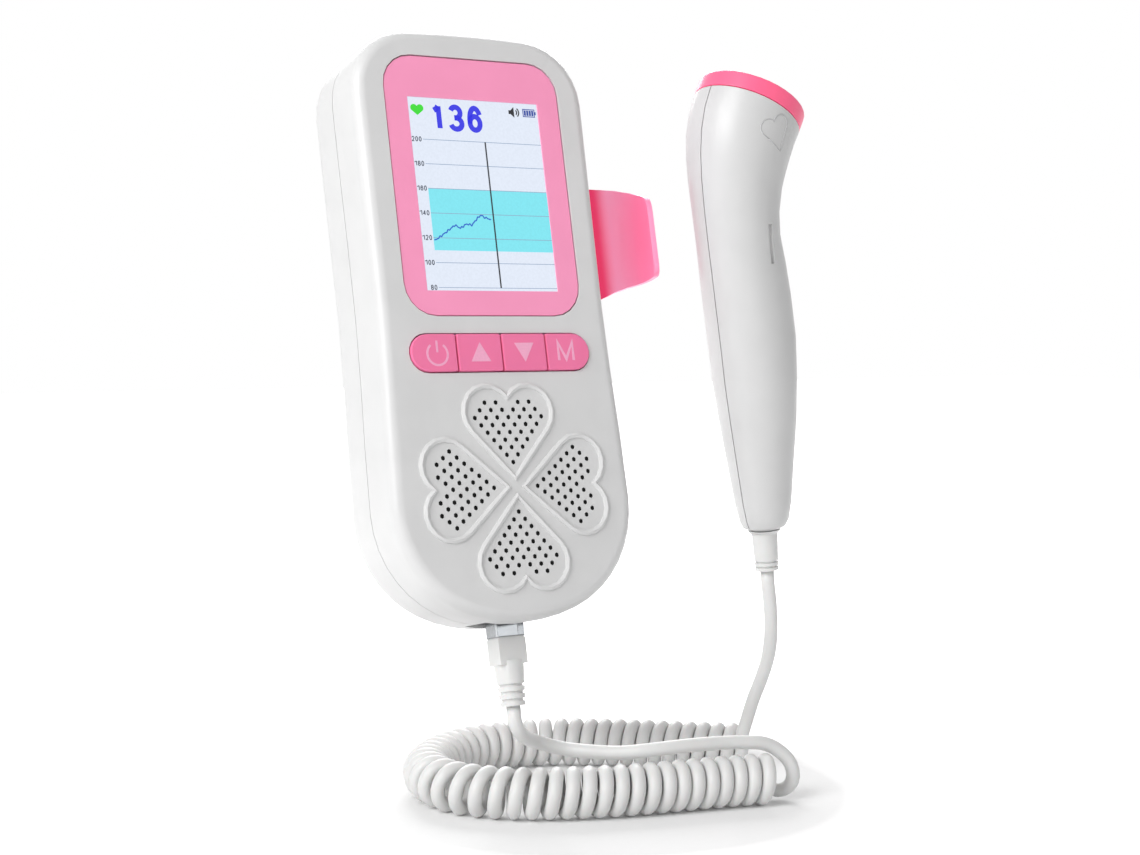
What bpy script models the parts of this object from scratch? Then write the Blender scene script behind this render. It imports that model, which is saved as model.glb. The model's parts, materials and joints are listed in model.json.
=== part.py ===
"""Fetal doppler monitor: a hand-held display unit, its curly cord and its ultrasound probe.

The origin is the middle of the probe's grip. +X is to the right, +Y away from the viewer
and +Z up. The display unit leans back and hangs over the coil by its plug. Its pieces are
placed in a frame of their own, whose origin is the centre of the screen on the front face:
x to the right, y into the case, z up the case. The probe's pieces are placed in a frame at
the grip, turned about Z, in whose xz plane the probe bends.
"""
import math

import bmesh
import bpy
import numpy as np
from mathutils import Matrix, Vector

MM = 0.001
DEGREE = math.pi / 180
OBJECT_NAME = "fetal_doppler_monitor"
RIGHT_ANGLE = 90 * DEGREE
FULL_TURN = 360 * DEGREE

# Clearances shared by all pieces
GAP = 0.3 * MM
OVERRUN = 1.0 * MM
WELD = 0.001 * MM
FLAT_ANGLE = 0.05 * DEGREE
EDGE_ANGLE = 40 * DEGREE

# Where the two halves of the set stand
SCREEN_LEFT = 68.6 * MM
SCREEN_BACK = 18.3 * MM
SCREEN_RISE = 30.0 * MM
LEAN_BACK = 12.66 * DEGREE
PROBE_TURN = 10.0 * DEGREE
FLOOR_DROP = 123.5 * MM

# Case outline, seen from the front
CASE_TOP = 42.3 * MM
CASE_BOTTOM = 106.2 * MM
SHOULDER_HALF = 32.5 * MM
WAIST_HALF = 32.0 * MM
WAIST_DROP = 28.0 * MM
HIP_HALF = 33.3 * MM
TOP_CROWN_RADIUS = 300.0 * MM
TOP_CORNER_RADIUS = 16.5 * MM
BOTTOM_CORNER_SHARE = 0.841
BOTTOM_CROWN_SHARE = 1.321

# Case depth and walls
CASE_DEPTH = 27.0 * MM
FRONT_WALL = 2.2 * MM
BACK_WALL = 2.4 * MM
FRONT_ROUNDING = 3.0 * MM
BACK_ROUNDING = 4.4 * MM
ROUNDING_STEPS = 3

# Screen, its pane and its frame
SCREEN_WIDTH = 36.72 * MM
SCREEN_HEIGHT = 48.96 * MM
BEZEL_SIDE = 6.1 * MM
BEZEL_ABOVE = 10.5 * MM
BEZEL_BELOW = 6.2 * MM
BEZEL_RADIUS = 8.0 * MM
BEZEL_THICKNESS = 0.9 * MM
BEZEL_SINK = 0.2 * MM
PANE_LAP = 1.8 * MM
PANE_THICKNESS = 0.5 * MM
LCD_SIDE = 3.0 * MM
LCD_ABOVE = 3.0 * MM
LCD_BELOW = 8.0 * MM
LCD_THICKNESS = 2.6 * MM
LCD_FRAME_WALL = 0.8 * MM

# Buttons and their switches
BAR_WIDTH = 50.0 * MM
BAR_HEIGHT = 9.28 * MM
BAR_DROP = 40.1 * MM
BUTTON_NAMES = ("power", "up", "down", "menu")
BUTTON_COUNT = len(BUTTON_NAMES)
BUTTON_SPLIT = 0.35 * MM
BUTTON_PROUD = 0.7 * MM
BUTTON_EDGE = 0.35 * MM
BUTTON_EDGE_ANGLE = 80 * DEGREE
BUTTON_CORNER = 0.4 * MM
BUTTON_LIP = 1.0 * MM
BUTTON_LIP_THICKNESS = 0.6 * MM
BUTTON_TRAVEL = 0.6 * MM
SWITCH_WIDTH = 5.2 * MM
SWITCH_PLUNGER_RADIUS = 1.4 * MM
SWITCH_PLUNGER_HEIGHT = 0.45 * MM

# Circuit board
BOARD_SCREW_INSET = 3.3 * MM
BOARD_TOP = 36.0 * MM
BOARD_BOTTOM = 52.0 * MM
BOARD_THICKNESS = 1.6 * MM
BOARD_CORNER = 3.0 * MM
CHIP_WIDTH = 10.0 * MM
CHIP_THICKNESS = 1.2 * MM
CHIP_LIFT = 16.0 * MM

# Clover of heart-shaped speaker grilles
CLOVER_DROP = 73.5 * MM
HEART_COUNT = 4
HEART_TIP = 2.2 * MM
HEART_LENGTH = 23.0 * MM
HEART_LOBE_RADIUS = 6.7 * MM
HEART_LOBE_OFFSET = 5.6 * MM
RIDGE_WIDTH = 1.5 * MM
HOLE_RADIUS = 0.65 * MM
HOLE_PITCH = 3.1 * MM
HOLE_ROW_STEP = 1.86 * MM
HOLE_FIRST_ROW = 3.9 * MM
HOLE_WIDEST_ROW = 7
HOLE_SIDES = 6

# Speaker behind the clover
SPEAKER_RADIUS = 17.5 * MM
SPEAKER_RIM = 2.0 * MM
SPEAKER_DEPTH = 3.8 * MM
SPEAKER_SHEET = 0.8 * MM
SPEAKER_BACK_RADIUS = 8.6 * MM
SPEAKER_COIL_RADIUS = 5.0 * MM
CONE_SHEET = 0.5 * MM
MAGNET_RADIUS = 7.5 * MM
MAGNET_HEIGHT = 1.7 * MM

# Battery bay, cells and door
CELL_RADIUS = 7.25 * MM
CELL_LENGTH = 49.5 * MM
CELL_NUB_RADIUS = 2.75 * MM
CELL_NUB_HEIGHT = 1.0 * MM
CELL_HALF_PITCH = 7.9 * MM
TRAY_WALL = 1.0 * MM
SPRING_ROOM = 4.6 * MM
CONTACT_THICKNESS = 0.4 * MM
SPRING_WIDE_RADIUS = 3.6 * MM
SPRING_NARROW_RADIUS = 2.2 * MM
DOOR_LAP = 1.5 * MM
DOOR_THICKNESS = 1.2 * MM
DOOR_RIB_COUNT = 3
DOOR_RIB_WIDTH = 12.0 * MM
DOOR_RIB_RADIUS = 0.5 * MM
DOOR_RIB_STEP = 2.5 * MM
DOOR_RIB_DROP = 4.0 * MM

# Screws of the case
CASE_SCREW_UPPER_INSET = 5.7 * MM
CASE_SCREW_UPPER_RISE = 22.0 * MM
CASE_SCREW_LOWER_INSET = 7.8 * MM
CASE_SCREW_LOWER_DROP = 82.0 * MM
CASE_BOSS_RADIUS = 3.0 * MM
SCREW_HEAD_RADIUS = 1.9 * MM
SCREW_HEAD_HEIGHT = 1.4 * MM
SCREW_SHANK_RADIUS = 1.0 * MM
SCREW_LENGTH = 14.0 * MM
SCREW_SINK = 5.0 * MM

# Arm on the back that holds the probe
ARM_THICKNESS = 1.4 * MM
ARM_HEIGHT = 31.4 * MM
ARM_DROP = 4.6 * MM
ARM_LEFT = 18.0 * MM
ARM_BEND_X = 46.2 * MM
ARM_INNER_RADIUS = 10.9 * MM
ARM_END_ANGLE = -30.0 * DEGREE
# The bent part's edges: how far along it, and how far in from the plate's edge as a share of its height
ARM_UPPER_SHARES = ((0.0, 0.004), (0.082, 0.008), (0.237, 0.021), (0.391, 0.045), (0.587, 0.099), (0.796, 0.169))
ARM_LOWER_SHARES = ((0.0, 0.003), (0.1025, 0.013), (0.257, 0.0605), (0.405, 0.0854), (0.623, 0.0962), (0.82, 0.105))
ARM_TIP_FALL_SHARE = 0.181
ARM_TIP_SLANT = 66.0 * DEGREE
ARM_TIP_UPPER_RADIUS = 7.0 * MM
ARM_TIP_LOWER_RADIUS = 3.5 * MM
ARM_LEFT_RADIUS = 5.0 * MM
ARM_LEAST_STEP = 0.1 * MM
ARM_BEND_STEPS = 16
ARM_SCREW_PLACES = (-9.0 * MM, 19.0 * MM)
ARM_SCREW_HEAD_RADIUS = 2.1 * MM
ARM_SCREW_HEAD_HEIGHT = 0.9 * MM
ARM_SCREW_SHANK_RADIUS = 1.1 * MM
ARM_SCREW_LENGTH = 10.0 * MM
ARM_BOSS_RADIUS = 2.9 * MM

# Socket and modular plug
SOCKET_HALF_WIDTH = 8.0 * MM
SOCKET_THICKNESS = 10.4 * MM
SOCKET_DEPTH = 11.8 * MM
SOCKET_SINK = 1.0 * MM
SOCKET_FLOOR = 1.8 * MM
PLUG_WIDTH = 7.6 * MM
PLUG_THICKNESS = 6.1 * MM
PLUG_INSERTED = 8.6 * MM
PLUG_SHOWING = 2.9 * MM
LATCH_WIDTH = 3.2 * MM
LATCH_THICKNESS = 0.9 * MM
LATCH_LENGTH = 8.5 * MM
LATCH_ANGLE = 6.0 * DEGREE
BOOT_BLOCK_HEIGHT = 6.4 * MM
BOOT_TOP_RADIUS = 3.75 * MM
BOOT_END_RADIUS = 3.1 * MM
BOOT_CONE_HEIGHT = 10.2 * MM
BOOT_GROOVE_DEPTH = 0.5 * MM
BOOT_GROOVE_WIDTH = 0.7 * MM
BOOT_GROOVE_COUNT = 3

# Probe body: heights from the end of the grip, on a bent centre line
PROBE_HEIGHT = 107.3 * MM
PROBE_SWAY = 11.5 * MM
PROBE_HEAD_RADIUS = 14.3 * MM
PROBE_HEAD_TILT = 26.8 * DEGREE
PROBE_GRIP_DROP = 55.7 * MM
PROBE_GRIP_SHIFT = 5.5 * MM
PROBE_WALL = 1.6 * MM
PROBE_SIDES = 36
# Height, sway of the centre line, radius and tilt, as shares of the four sizes above
PROBE_STATION_SHARES = (
    (0.000, 0.000, 0.250, -0.22),
    (0.000, 0.000, 0.305, -0.22),
    (0.006, 0.000, 0.395, -0.22),
    (0.022, 0.000, 0.455, -0.22),
    (0.069, 0.043, 0.525, -0.22),
    (0.168, 0.139, 0.615, -0.22),
    (0.265, 0.226, 0.705, -0.24),
    (0.363, 0.335, 0.770, -0.26),
    (0.461, 0.443, 0.803, -0.30),
    (0.559, 0.609, 0.802, -0.34),
    (0.633, 0.748, 0.786, -0.33),
    (0.705, 0.900, 0.764, -0.24),
    (0.767, 0.978, 0.786, 0.00),
    (0.830, 1.004, 0.846, 0.25),
    (0.878, 0.974, 0.905, 0.42),
    (0.923, 0.909, 0.955, 0.60),
    (0.964, 0.804, 0.985, 0.80),
    (1.000, 0.652, 1.000, 1.00),
)

# Thumb slots on the grip
SLOT_STATION_INDEX = 11
SLOT_LENGTH = 10.0 * MM
SLOT_WIDTH = 1.5 * MM
SLOT_DEPTH = 0.6 * MM
SLOT_SHIFT = 0.7 * MM
SLOT_DROP = 1.9 * MM

# Probe head
RING_HEIGHT = 4.4 * MM
RING_WALL = 1.4 * MM
RING_EDGE = 0.4 * MM
RING_LEDGE = 1.1 * MM
WINDOW_THICKNESS = 1.6 * MM
WINDOW_SINK = 0.2 * MM
CRYSTAL_RADIUS = 9.5 * MM
CRYSTAL_THICKNESS = 1.0 * MM
CRYSTAL_SPLIT = 1.0 * MM
BACKING_HEIGHT = 4.3 * MM

# Board inside the grip
PROBE_BOARD_WIDTH = 15.0 * MM
PROBE_BOARD_LENGTH = 42.0 * MM
PROBE_BOARD_THICKNESS = 1.2 * MM
PROBE_BOARD_HEIGHT = 50.0 * MM
PROBE_BOARD_TILT = -8.3 * DEGREE
PROBE_BOARD_SWAY = 5.1 * MM

# Strain relief at the end of the grip
RELIEF_FLANGE_RADIUS = 4.4 * MM
RELIEF_FLANGE_HEIGHT = 1.2 * MM
RELIEF_COLLAR_RADIUS = 4.4 * MM
RELIEF_COLLAR_HEIGHT = 1.3 * MM
RELIEF_STEM_RADIUS = 3.5 * MM
RELIEF_TIP_RADIUS = 3.1 * MM
RELIEF_LENGTH = 11.0 * MM
RELIEF_GROOVE_DEPTH = 0.45 * MM
RELIEF_GROOVE_WIDTH = 0.5 * MM
RELIEF_GROOVE_COUNT = 2

# Curly cord
CORD_DIAMETER = 3.4 * MM
COIL_DIAMETER = 13.0 * MM
CURL_PITCH = 4.1 * MM
POINTS_PER_CURL = 8
LEAD_STEP = 8.0 * MM
HOOK_STEP = 2.5 * MM
FINE_STEP = 0.5 * MM
CORD_SIDE_STEPS = 2
COIL_SIDE_STEPS = 1
LEAST_CORD_GAP = 0.4 * MM
MONITOR_LEAD_POINTS = (
    (-65.2, 4.2, -103.2),
    (-60.0, 7.3, -106.2),
    (-53.6, 6.0, -108.4),
    (-47.8, 1.2, -109.0),
    (-42.3, -3.8, -109.0),
    (-36.8, -7.7, -108.3),
    (-30.0, -9.9, -107.8),
    (-22.8, -11.0, -107.7),
    (-15.5, -12.3, -107.8),
)
HOOK_POINTS = (
    (-8.6, -14.0, -108.2),
    (-5.2, -14.6, -108.9),
    (-2.2, -15.4, -110.5),
    (0.6, -16.8, -113.6),
    (1.2, -17.6, -117.4),
    (-0.8, -16.6, -120.6),
    (-3.7, -14.2, -120.4),
)
COIL_AXIS_POINTS = (
    (-6.3, -17.7),
    (-15.6, -15.2),
    (-28.6, -12.7),
    (-41.6, -10.2),
    (-54.6, -6.2),
    (-65.6, -1.0),
    (-74.0, 6.0),
    (-79.1, 15.0),
    (-79.6, 25.5),
    (-75.6, 36.0),
    (-66.6, 45.5),
    (-55.6, 51.3),
    (-43.6, 52.5),
    (-31.6, 49.8),
    (-20.6, 42.8),
    (-10.6, 34.8),
    (-1.6, 26.9),
    (5.4, 21.0),
    (10.4, 17.0),
)
PROBE_LEAD_POINTS = (
    (8.9, 12.9, -108.5),
    (9.4, 10.9, -103.0),
    (9.9, 8.0, -97.0),
    (10.0, 5.4, -91.4),
    (9.5, 3.4, -85.8),
    (8.6, 2.1, -79.8),
    (7.7, 1.5, -74.6),
)

GROOVE_PITCH_SHARE = 2.6
ROUND_SIDES = 20
SMALL_SIDES = 12

# Colour, roughness and metallic of each finish
FINISHES = {
    "white_shell": ((0.88, 0.88, 0.88), 0.35, 0.0),
    "pink_bezel": ((0.93, 0.27, 0.47), 0.45, 0.0),
    "pink_button": ((0.94, 0.17, 0.36), 0.40, 0.0),
    "pink_arm": ((0.94, 0.22, 0.42), 0.35, 0.0),
    "clear_pane": ((0.90, 0.95, 1.00), 0.05, 0.0),
    "lcd_glass": ((0.76, 0.84, 0.97), 0.15, 0.0),
    "dark_plastic": ((0.04, 0.04, 0.05), 0.50, 0.0),
    "board_green": ((0.03, 0.22, 0.10), 0.45, 0.0),
    "steel": ((0.60, 0.60, 0.62), 0.30, 1.0),
    "cell_wrap": ((0.10, 0.12, 0.16), 0.35, 0.0),
    "speaker_paper": ((0.06, 0.06, 0.07), 0.80, 0.0),
    "white_cord": ((0.80, 0.80, 0.80), 0.45, 0.0),
    "clear_plug": ((0.60, 0.62, 0.63), 0.15, 0.0),
    "window_resin": ((0.86, 0.84, 0.82), 0.30, 0.0),
    "crystal": ((0.70, 0.62, 0.48), 0.50, 0.0),
}


def finish(name):
    """Return the Principled material of that name, made once."""
    found = bpy.data.materials.get(name)
    if found:
        return found
    colour, roughness, metallic = FINISHES[name]
    made = bpy.data.materials.new(name)
    made.use_nodes = True
    shader = made.node_tree.nodes["Principled BSDF"]
    shader.inputs["Base Color"].default_value = (*colour, 1.0)
    shader.inputs["Roughness"].default_value = roughness
    shader.inputs["Metallic"].default_value = metallic
    made.diffuse_color = (*colour, 1.0)
    return made


def collection(name):
    """Return the scene collection of that name, made once."""
    found = bpy.data.collections.get(name)
    if found is None:
        found = bpy.data.collections.new(name)
        bpy.context.scene.collection.children.link(found)
    return found


def frame_empty(name, place, turn, parent=None):
    """Add an empty that carries the pieces placed in its frame."""
    empty = bpy.data.objects.new(name, None)
    empty.location = place
    empty.rotation_euler = turn
    empty.parent = parent
    collection(OBJECT_NAME).objects.link(empty)
    return empty


def add_piece(name, data, material, parent, place=(0, 0, 0), turn=(0, 0, 0)):
    """Add one named sub-part with its own material."""
    piece = bpy.data.objects.new(name, data)
    piece.location = place
    piece.rotation_euler = turn
    piece.parent = parent
    piece.data.materials.clear()
    piece.data.materials.append(finish(material))
    collection(OBJECT_NAME).objects.link(piece)
    return piece


def add_tool(name, data, parent, place=(0, 0, 0), turn=(0, 0, 0)):
    """Add a solid that only cuts, joins or bounds another one."""
    tool = bpy.data.objects.new(name, data)
    tool.location = place
    tool.rotation_euler = turn
    tool.parent = parent
    tool.hide_render = True
    tool.display_type = "WIRE"
    collection("cutters").objects.link(tool)
    return tool


def combine(piece, tool, operation):
    """Give the piece a Boolean with the tool."""
    modifier = piece.modifiers.new(tool.name, "BOOLEAN")
    modifier.operation = operation
    modifier.solver = "EXACT"
    modifier.object = tool


def mesh_from(bm, name):
    """Turn a bmesh into a mesh with outward faces."""
    bmesh.ops.recalc_face_normals(bm, faces=bm.faces)
    mesh = bpy.data.meshes.new(name)
    bm.to_mesh(mesh)
    bm.free()
    return mesh


def block_mesh(name, size):
    """Make a box of the given size about its centre."""
    bm = bmesh.new()
    bmesh.ops.create_cube(bm, size=1.0, matrix=Matrix.Diagonal((*size, 1.0)))
    return mesh_from(bm, name)


def span_mesh(name, low, high):
    """Make a box between two corners."""
    size = [b - a for a, b in zip(low, high)]
    middle = Vector([(a + b) / 2 for a, b in zip(low, high)])
    bm = bmesh.new()
    bmesh.ops.create_cube(bm, size=1.0, matrix=Matrix.Translation(middle) @ Matrix.Diagonal((*size, 1.0)))
    return mesh_from(bm, name)


def add_rod(bm, radius, start, end, sides, turn=0.0):
    """Add a cylinder along y between two depths, at the x and z of start."""
    length = end[1] - start[1]
    place = Vector((start[0], (start[1] + end[1]) / 2, start[2]))
    aim = Matrix.Rotation(RIGHT_ANGLE, 4, "X") @ Matrix.Rotation(turn, 4, "Z")
    matrix = Matrix.Translation(place) @ aim
    bmesh.ops.create_cone(
        bm, cap_ends=True, segments=sides, radius1=radius, radius2=radius, depth=length, matrix=matrix
    )


def rods_mesh(name, places, radius, front, back, sides=SMALL_SIDES, turn=0.0):
    """Make equal cylinders along y at several (x, z) places."""
    bm = bmesh.new()
    for x, z in places:
        add_rod(bm, radius, (x, front, z), (x, back, z), sides, turn)
    return mesh_from(bm, name)


def arc(centre, radius, start, end, steps):
    """Return points on an arc, both ends included."""
    angles = [start + (end - start) * i / steps for i in range(steps + 1)]
    return [(centre[0] + radius * math.cos(a), centre[1] + radius * math.sin(a)) for a in angles]


def rounded_rectangle(left, right, low, high, radius, steps=5):
    """Return the outline of a rectangle with round corners."""
    x0, x1 = left + radius, right - radius
    z0, z1 = low + radius, high - radius
    points = []
    for index, centre in enumerate(((x1, z1), (x0, z1), (x0, z0), (x1, z0))):
        points += arc(centre, radius, index * RIGHT_ANGLE, (index + 1) * RIGHT_ANGLE, steps)
    return points


def plate_mesh(name, outline, front, back):
    """Fill an outline drawn in x and z and give it the depth between front and back."""
    curve = bpy.data.curves.new(name, "CURVE")
    curve.dimensions = "2D"
    curve.fill_mode = "BOTH"
    curve.extrude = (back - front) / 2
    spline = curve.splines.new("POLY")
    spline.points.add(len(outline) - 1)
    spline.use_cyclic_u = True
    for point, (x, z) in zip(spline.points, outline):
        point.co = (x, z, 0, 1)
    sheet = bpy.data.objects.new(name, curve)
    bpy.context.scene.collection.objects.link(sheet)
    evaluated = sheet.evaluated_get(bpy.context.evaluated_depsgraph_get())
    mesh = bpy.data.meshes.new_from_object(evaluated)
    bpy.data.objects.remove(sheet)
    bpy.data.curves.remove(curve)
    bm = bmesh.new()
    bm.from_mesh(mesh)
    bpy.data.meshes.remove(mesh)
    bmesh.ops.remove_doubles(bm, verts=bm.verts, dist=WELD)
    bmesh.ops.dissolve_limit(bm, angle_limit=FLAT_ANGLE, verts=bm.verts, edges=bm.edges)
    bmesh.ops.rotate(bm, verts=bm.verts, matrix=Matrix.Rotation(RIGHT_ANGLE, 3, "X"))
    bmesh.ops.translate(bm, verts=bm.verts, vec=(0, (front + back) / 2, 0))
    return mesh_from(bm, name)


def profile_mesh(name, profile):
    """Make the edge loop that a Screw modifier turns about z."""
    bm = bmesh.new()
    points = [bm.verts.new((radius, 0, height)) for radius, height in profile]
    closed = profile[0][0] > WELD
    for index in range(len(points) - (0 if closed else 1)):
        bm.edges.new((points[index], points[(index + 1) % len(points)]))
    mesh = bpy.data.meshes.new(name)
    bm.to_mesh(mesh)
    bm.free()
    return mesh


def turn_profile(piece, sides):
    """Turn the piece's profile into a solid of revolution."""
    screw = piece.modifiers.new("turned", "SCREW")
    screw.steps = sides
    screw.render_steps = sides
    screw.use_merge_vertices = True
    screw.merge_threshold = WELD


def add_turned(name, profile, material, parent, place=(0, 0, 0), turn=(0, 0, 0), sides=SMALL_SIDES):
    """Add a sub-part that is turned from a profile."""
    piece = add_piece(name, profile_mesh(name, profile), material, parent, place, turn)
    turn_profile(piece, sides)
    return piece


def bevel(piece, width, steps, angle=EDGE_ANGLE):
    """Round the piece's sharp edges."""
    rounding = piece.modifiers.new("rounded", "BEVEL")
    rounding.width = width
    rounding.segments = steps
    rounding.limit_method = "ANGLE"
    rounding.angle_limit = angle


def smooth(piece):
    """Shade the round faces smooth and keep the edges."""
    piece.data.shade_smooth()
    piece.data.set_sharp_from_angle(angle=EDGE_ANGLE)


def cosine_blend(start, end, share):
    """Ease from start to end with level ends."""
    return start + (end - start) * (1 - math.cos(math.pi * share)) / 2


def case_outline():
    """Return the case's outline from the top centre, clockwise."""
    crown_z = CASE_TOP - TOP_CROWN_RADIUS
    corner_x = SHOULDER_HALF - TOP_CORNER_RADIUS
    rise = math.sqrt((TOP_CROWN_RADIUS - TOP_CORNER_RADIUS) ** 2 - corner_x ** 2)
    corner_z = crown_z + rise
    lean = math.atan2(rise, corner_x)
    right = arc((0, crown_z), TOP_CROWN_RADIUS, RIGHT_ANGLE, lean, 2)[:-1]
    right += arc((corner_x, corner_z), TOP_CORNER_RADIUS, lean, 0, 7)

    corner_radius = BOTTOM_CORNER_SHARE * HIP_HALF
    crown_radius = BOTTOM_CROWN_SHARE * HIP_HALF
    base_z = crown_radius - CASE_BOTTOM
    hip_x = HIP_HALF - corner_radius
    fall = math.sqrt((crown_radius - corner_radius) ** 2 - hip_x ** 2)
    hip_z = base_z - fall
    for share in (1 / 3, 2 / 3, 1):
        half = cosine_blend(SHOULDER_HALF, WAIST_HALF, share)
        right.append((half, corner_z - (corner_z + WAIST_DROP) * share))
    for share in (1 / 3, 2 / 3):
        half = cosine_blend(WAIST_HALF, HIP_HALF, share)
        right.append((half, -WAIST_DROP + (hip_z + WAIST_DROP) * share))
    low = math.atan2(-fall, hip_x)
    right += arc((hip_x, hip_z), corner_radius, 0, low, 8)
    right += arc((0, base_z), crown_radius, low, -RIGHT_ANGLE, 3)[1:]
    left = [(-x, z) for x, z in reversed(right[1:-1])]
    return right + left


def tray(name, front, back, open_side, rounding, wall, parent):
    """Make half of the case: a rounded tray that is open at the parting line."""
    solid = plate_mesh(name, case_outline(), front, back)
    bm = bmesh.new()
    bm.from_mesh(solid)
    lids = [f for f in bm.faces if f.normal.y * open_side > 0.5]
    bmesh.ops.delete(bm, geom=lids, context="FACES")
    bm.to_mesh(solid)
    bm.free()
    piece = add_piece(name, solid, "white_shell", parent)
    bevel(piece, rounding, ROUNDING_STEPS)
    shell = piece.modifiers.new("wall", "SOLIDIFY")
    shell.thickness = wall
    shell.offset = -1
    shell.use_even_offset = True
    smooth(piece)
    return piece


def heart_outline():
    """Return one grille's outline, tip at the origin, growing along +z."""
    lobe_z = HEART_LENGTH - HEART_LOBE_RADIUS
    reach = math.hypot(HEART_LOBE_OFFSET, lobe_z)
    aside = math.atan2(HEART_LOBE_OFFSET, lobe_z) + math.asin(HEART_LOBE_RADIUS / reach)
    notch = math.acos(-HEART_LOBE_OFFSET / HEART_LOBE_RADIUS)
    right = arc((HEART_LOBE_OFFSET, lobe_z), HEART_LOBE_RADIUS, -aside, notch, 9)
    straight = [(right[0][0] * share, right[0][1] * share) for share in (1 / 3, 2 / 3)]
    half = [(0, 0)] + straight + right
    return half + [(-x, z) for x, z in reversed(half[1:-1])]


def heart_hole_places():
    """Return the holes of one grille, in the heart's own x and z."""
    rows = [[i - row / 2 for i in range(row + 1)] for row in range(HOLE_WIDEST_ROW)]
    rows.append([i - (HOLE_WIDEST_ROW - 2) / 2 for i in range(HOLE_WIDEST_ROW - 1)])
    rows.append([-2, -1, 1, 2])
    return [
        (place * HOLE_PITCH, HOLE_FIRST_ROW + index * HOLE_ROW_STEP)
        for index, row in enumerate(rows)
        for place in row
    ]


def on_clover(place, index):
    """Carry a point of one heart to its leaf of the clover."""
    angle = index * FULL_TURN / HEART_COUNT
    x, z = place[0], place[1] + HEART_TIP
    across = x * math.cos(angle) + z * math.sin(angle)
    return across, z * math.cos(angle) - x * math.sin(angle) - CLOVER_DROP


def clover_holes():
    """Return every speaker hole's place on the front face."""
    return [on_clover(place, i) for i in range(HEART_COUNT) for place in heart_hole_places()]


def ridge_mesh(index):
    """Make one heart's raised rim, half sunk in the front face."""
    curve = bpy.data.curves.new("ridge", "CURVE")
    curve.dimensions = "3D"
    curve.bevel_depth = RIDGE_WIDTH / 2
    curve.bevel_resolution = 1
    outline = [on_clover(place, index) for place in heart_outline()]
    spline = curve.splines.new("POLY")
    spline.points.add(len(outline) - 1)
    spline.use_cyclic_u = True
    for point, (x, z) in zip(spline.points, outline):
        point.co = (x, 0, z, 1)
    rim = bpy.data.objects.new("ridge", curve)
    bpy.context.scene.collection.objects.link(rim)
    evaluated = rim.evaluated_get(bpy.context.evaluated_depsgraph_get())
    mesh = bpy.data.meshes.new_from_object(evaluated)
    bpy.data.objects.remove(rim)
    bm = bmesh.new()
    bm.from_mesh(mesh)
    bmesh.ops.remove_doubles(bm, verts=bm.verts, dist=WELD)
    return mesh_from(bm, "ridge_%d" % (index + 1))


def bezel_box():
    """Return the bezel's left, right, low and high sides."""
    side = SCREEN_WIDTH / 2 + BEZEL_SIDE
    return -side, side, -SCREEN_HEIGHT / 2 - BEZEL_BELOW, SCREEN_HEIGHT / 2 + BEZEL_ABOVE


def pane_depths():
    """Return the front and back of the clear pane, which sits behind the bezel."""
    front = BEZEL_SINK + BEZEL_THICKNESS + GAP
    return front, front + PANE_THICKNESS


def lcd_front():
    """Return the depth of the display's front face."""
    return FRONT_WALL + GAP


def board_front():
    """Return the depth of the circuit board's front face."""
    return lcd_front() + LCD_THICKNESS + GAP + LCD_FRAME_WALL + GAP


def board_back():
    """Return the depth of the circuit board's back face."""
    return board_front() + BOARD_THICKNESS


def parting():
    """Return the depth of the line where the two covers meet."""
    return CASE_DEPTH / 2


def socket_mouth():
    """Return the height of the socket's open end."""
    return SOCKET_SINK - CASE_BOTTOM


def socket_top():
    """Return the height of the socket's closed end."""
    return socket_mouth() + SOCKET_DEPTH


def tray_floor_depth():
    """Return the depth of the battery tray's floor, outside."""
    return FRONT_WALL + GAP + SPEAKER_DEPTH + GAP + MAGNET_HEIGHT + GAP


def tray_box():
    """Return the battery tray's outside as low and high corners."""
    half = CELL_HALF_PITCH + CELL_RADIUS + GAP + TRAY_WALL
    inner = CELL_LENGTH + CELL_NUB_HEIGHT + CONTACT_THICKNESS + 2 * GAP + SPRING_ROOM
    bottom = socket_top() + GAP
    top = bottom + inner + 2 * TRAY_WALL
    back = CASE_DEPTH - BACK_WALL - GAP
    return (-half, tray_floor_depth(), bottom), (half, back, top)


def cell_depth():
    """Return the depth of the cells' axes."""
    return tray_floor_depth() + TRAY_WALL + GAP + CELL_RADIUS


def case_screw_places():
    """Return the (x, z) places of the screws that hold the covers together."""
    upper = (SHOULDER_HALF - CASE_SCREW_UPPER_INSET, CASE_SCREW_UPPER_RISE)
    lower = (HIP_HALF - CASE_SCREW_LOWER_INSET, -CASE_SCREW_LOWER_DROP)
    return [(side * x, z) for x, z in (upper, lower) for side in (-1, 1)]


def arm_screw_places():
    """Return the (x, z) places of the screws that hold the arm."""
    return [(x, -ARM_DROP) for x in ARM_SCREW_PLACES]


def cut_speaker_holes(cover, parent):
    """Drill the hearts' holes through the front wall."""
    back = FRONT_WALL + OVERRUN
    cutter = rods_mesh("speaker_holes", clover_holes(), HOLE_RADIUS, -OVERRUN, back, HOLE_SIDES)
    combine(cover, add_tool("speaker_holes", cutter, parent), "DIFFERENCE")


def cut_window(cover, parent):
    """Cut the bezel's recess and the opening behind it."""
    left, right, low, high = bezel_box()
    outline = rounded_rectangle(left - GAP, right + GAP, low - GAP, high + GAP, BEZEL_RADIUS + GAP)
    recess = plate_mesh("bezel_recess", outline, -OVERRUN, pane_depths()[0])
    combine(cover, add_tool("bezel_recess", recess, parent), "DIFFERENCE")
    half_x = SCREEN_WIDTH / 2 + PANE_LAP + GAP
    half_z = SCREEN_HEIGHT / 2 + PANE_LAP + GAP
    opening = span_mesh(
        "window_opening", (-half_x, -OVERRUN, -half_z), (half_x, FRONT_WALL + OVERRUN, half_z)
    )
    combine(cover, add_tool("window_opening", opening, parent), "DIFFERENCE")


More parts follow.
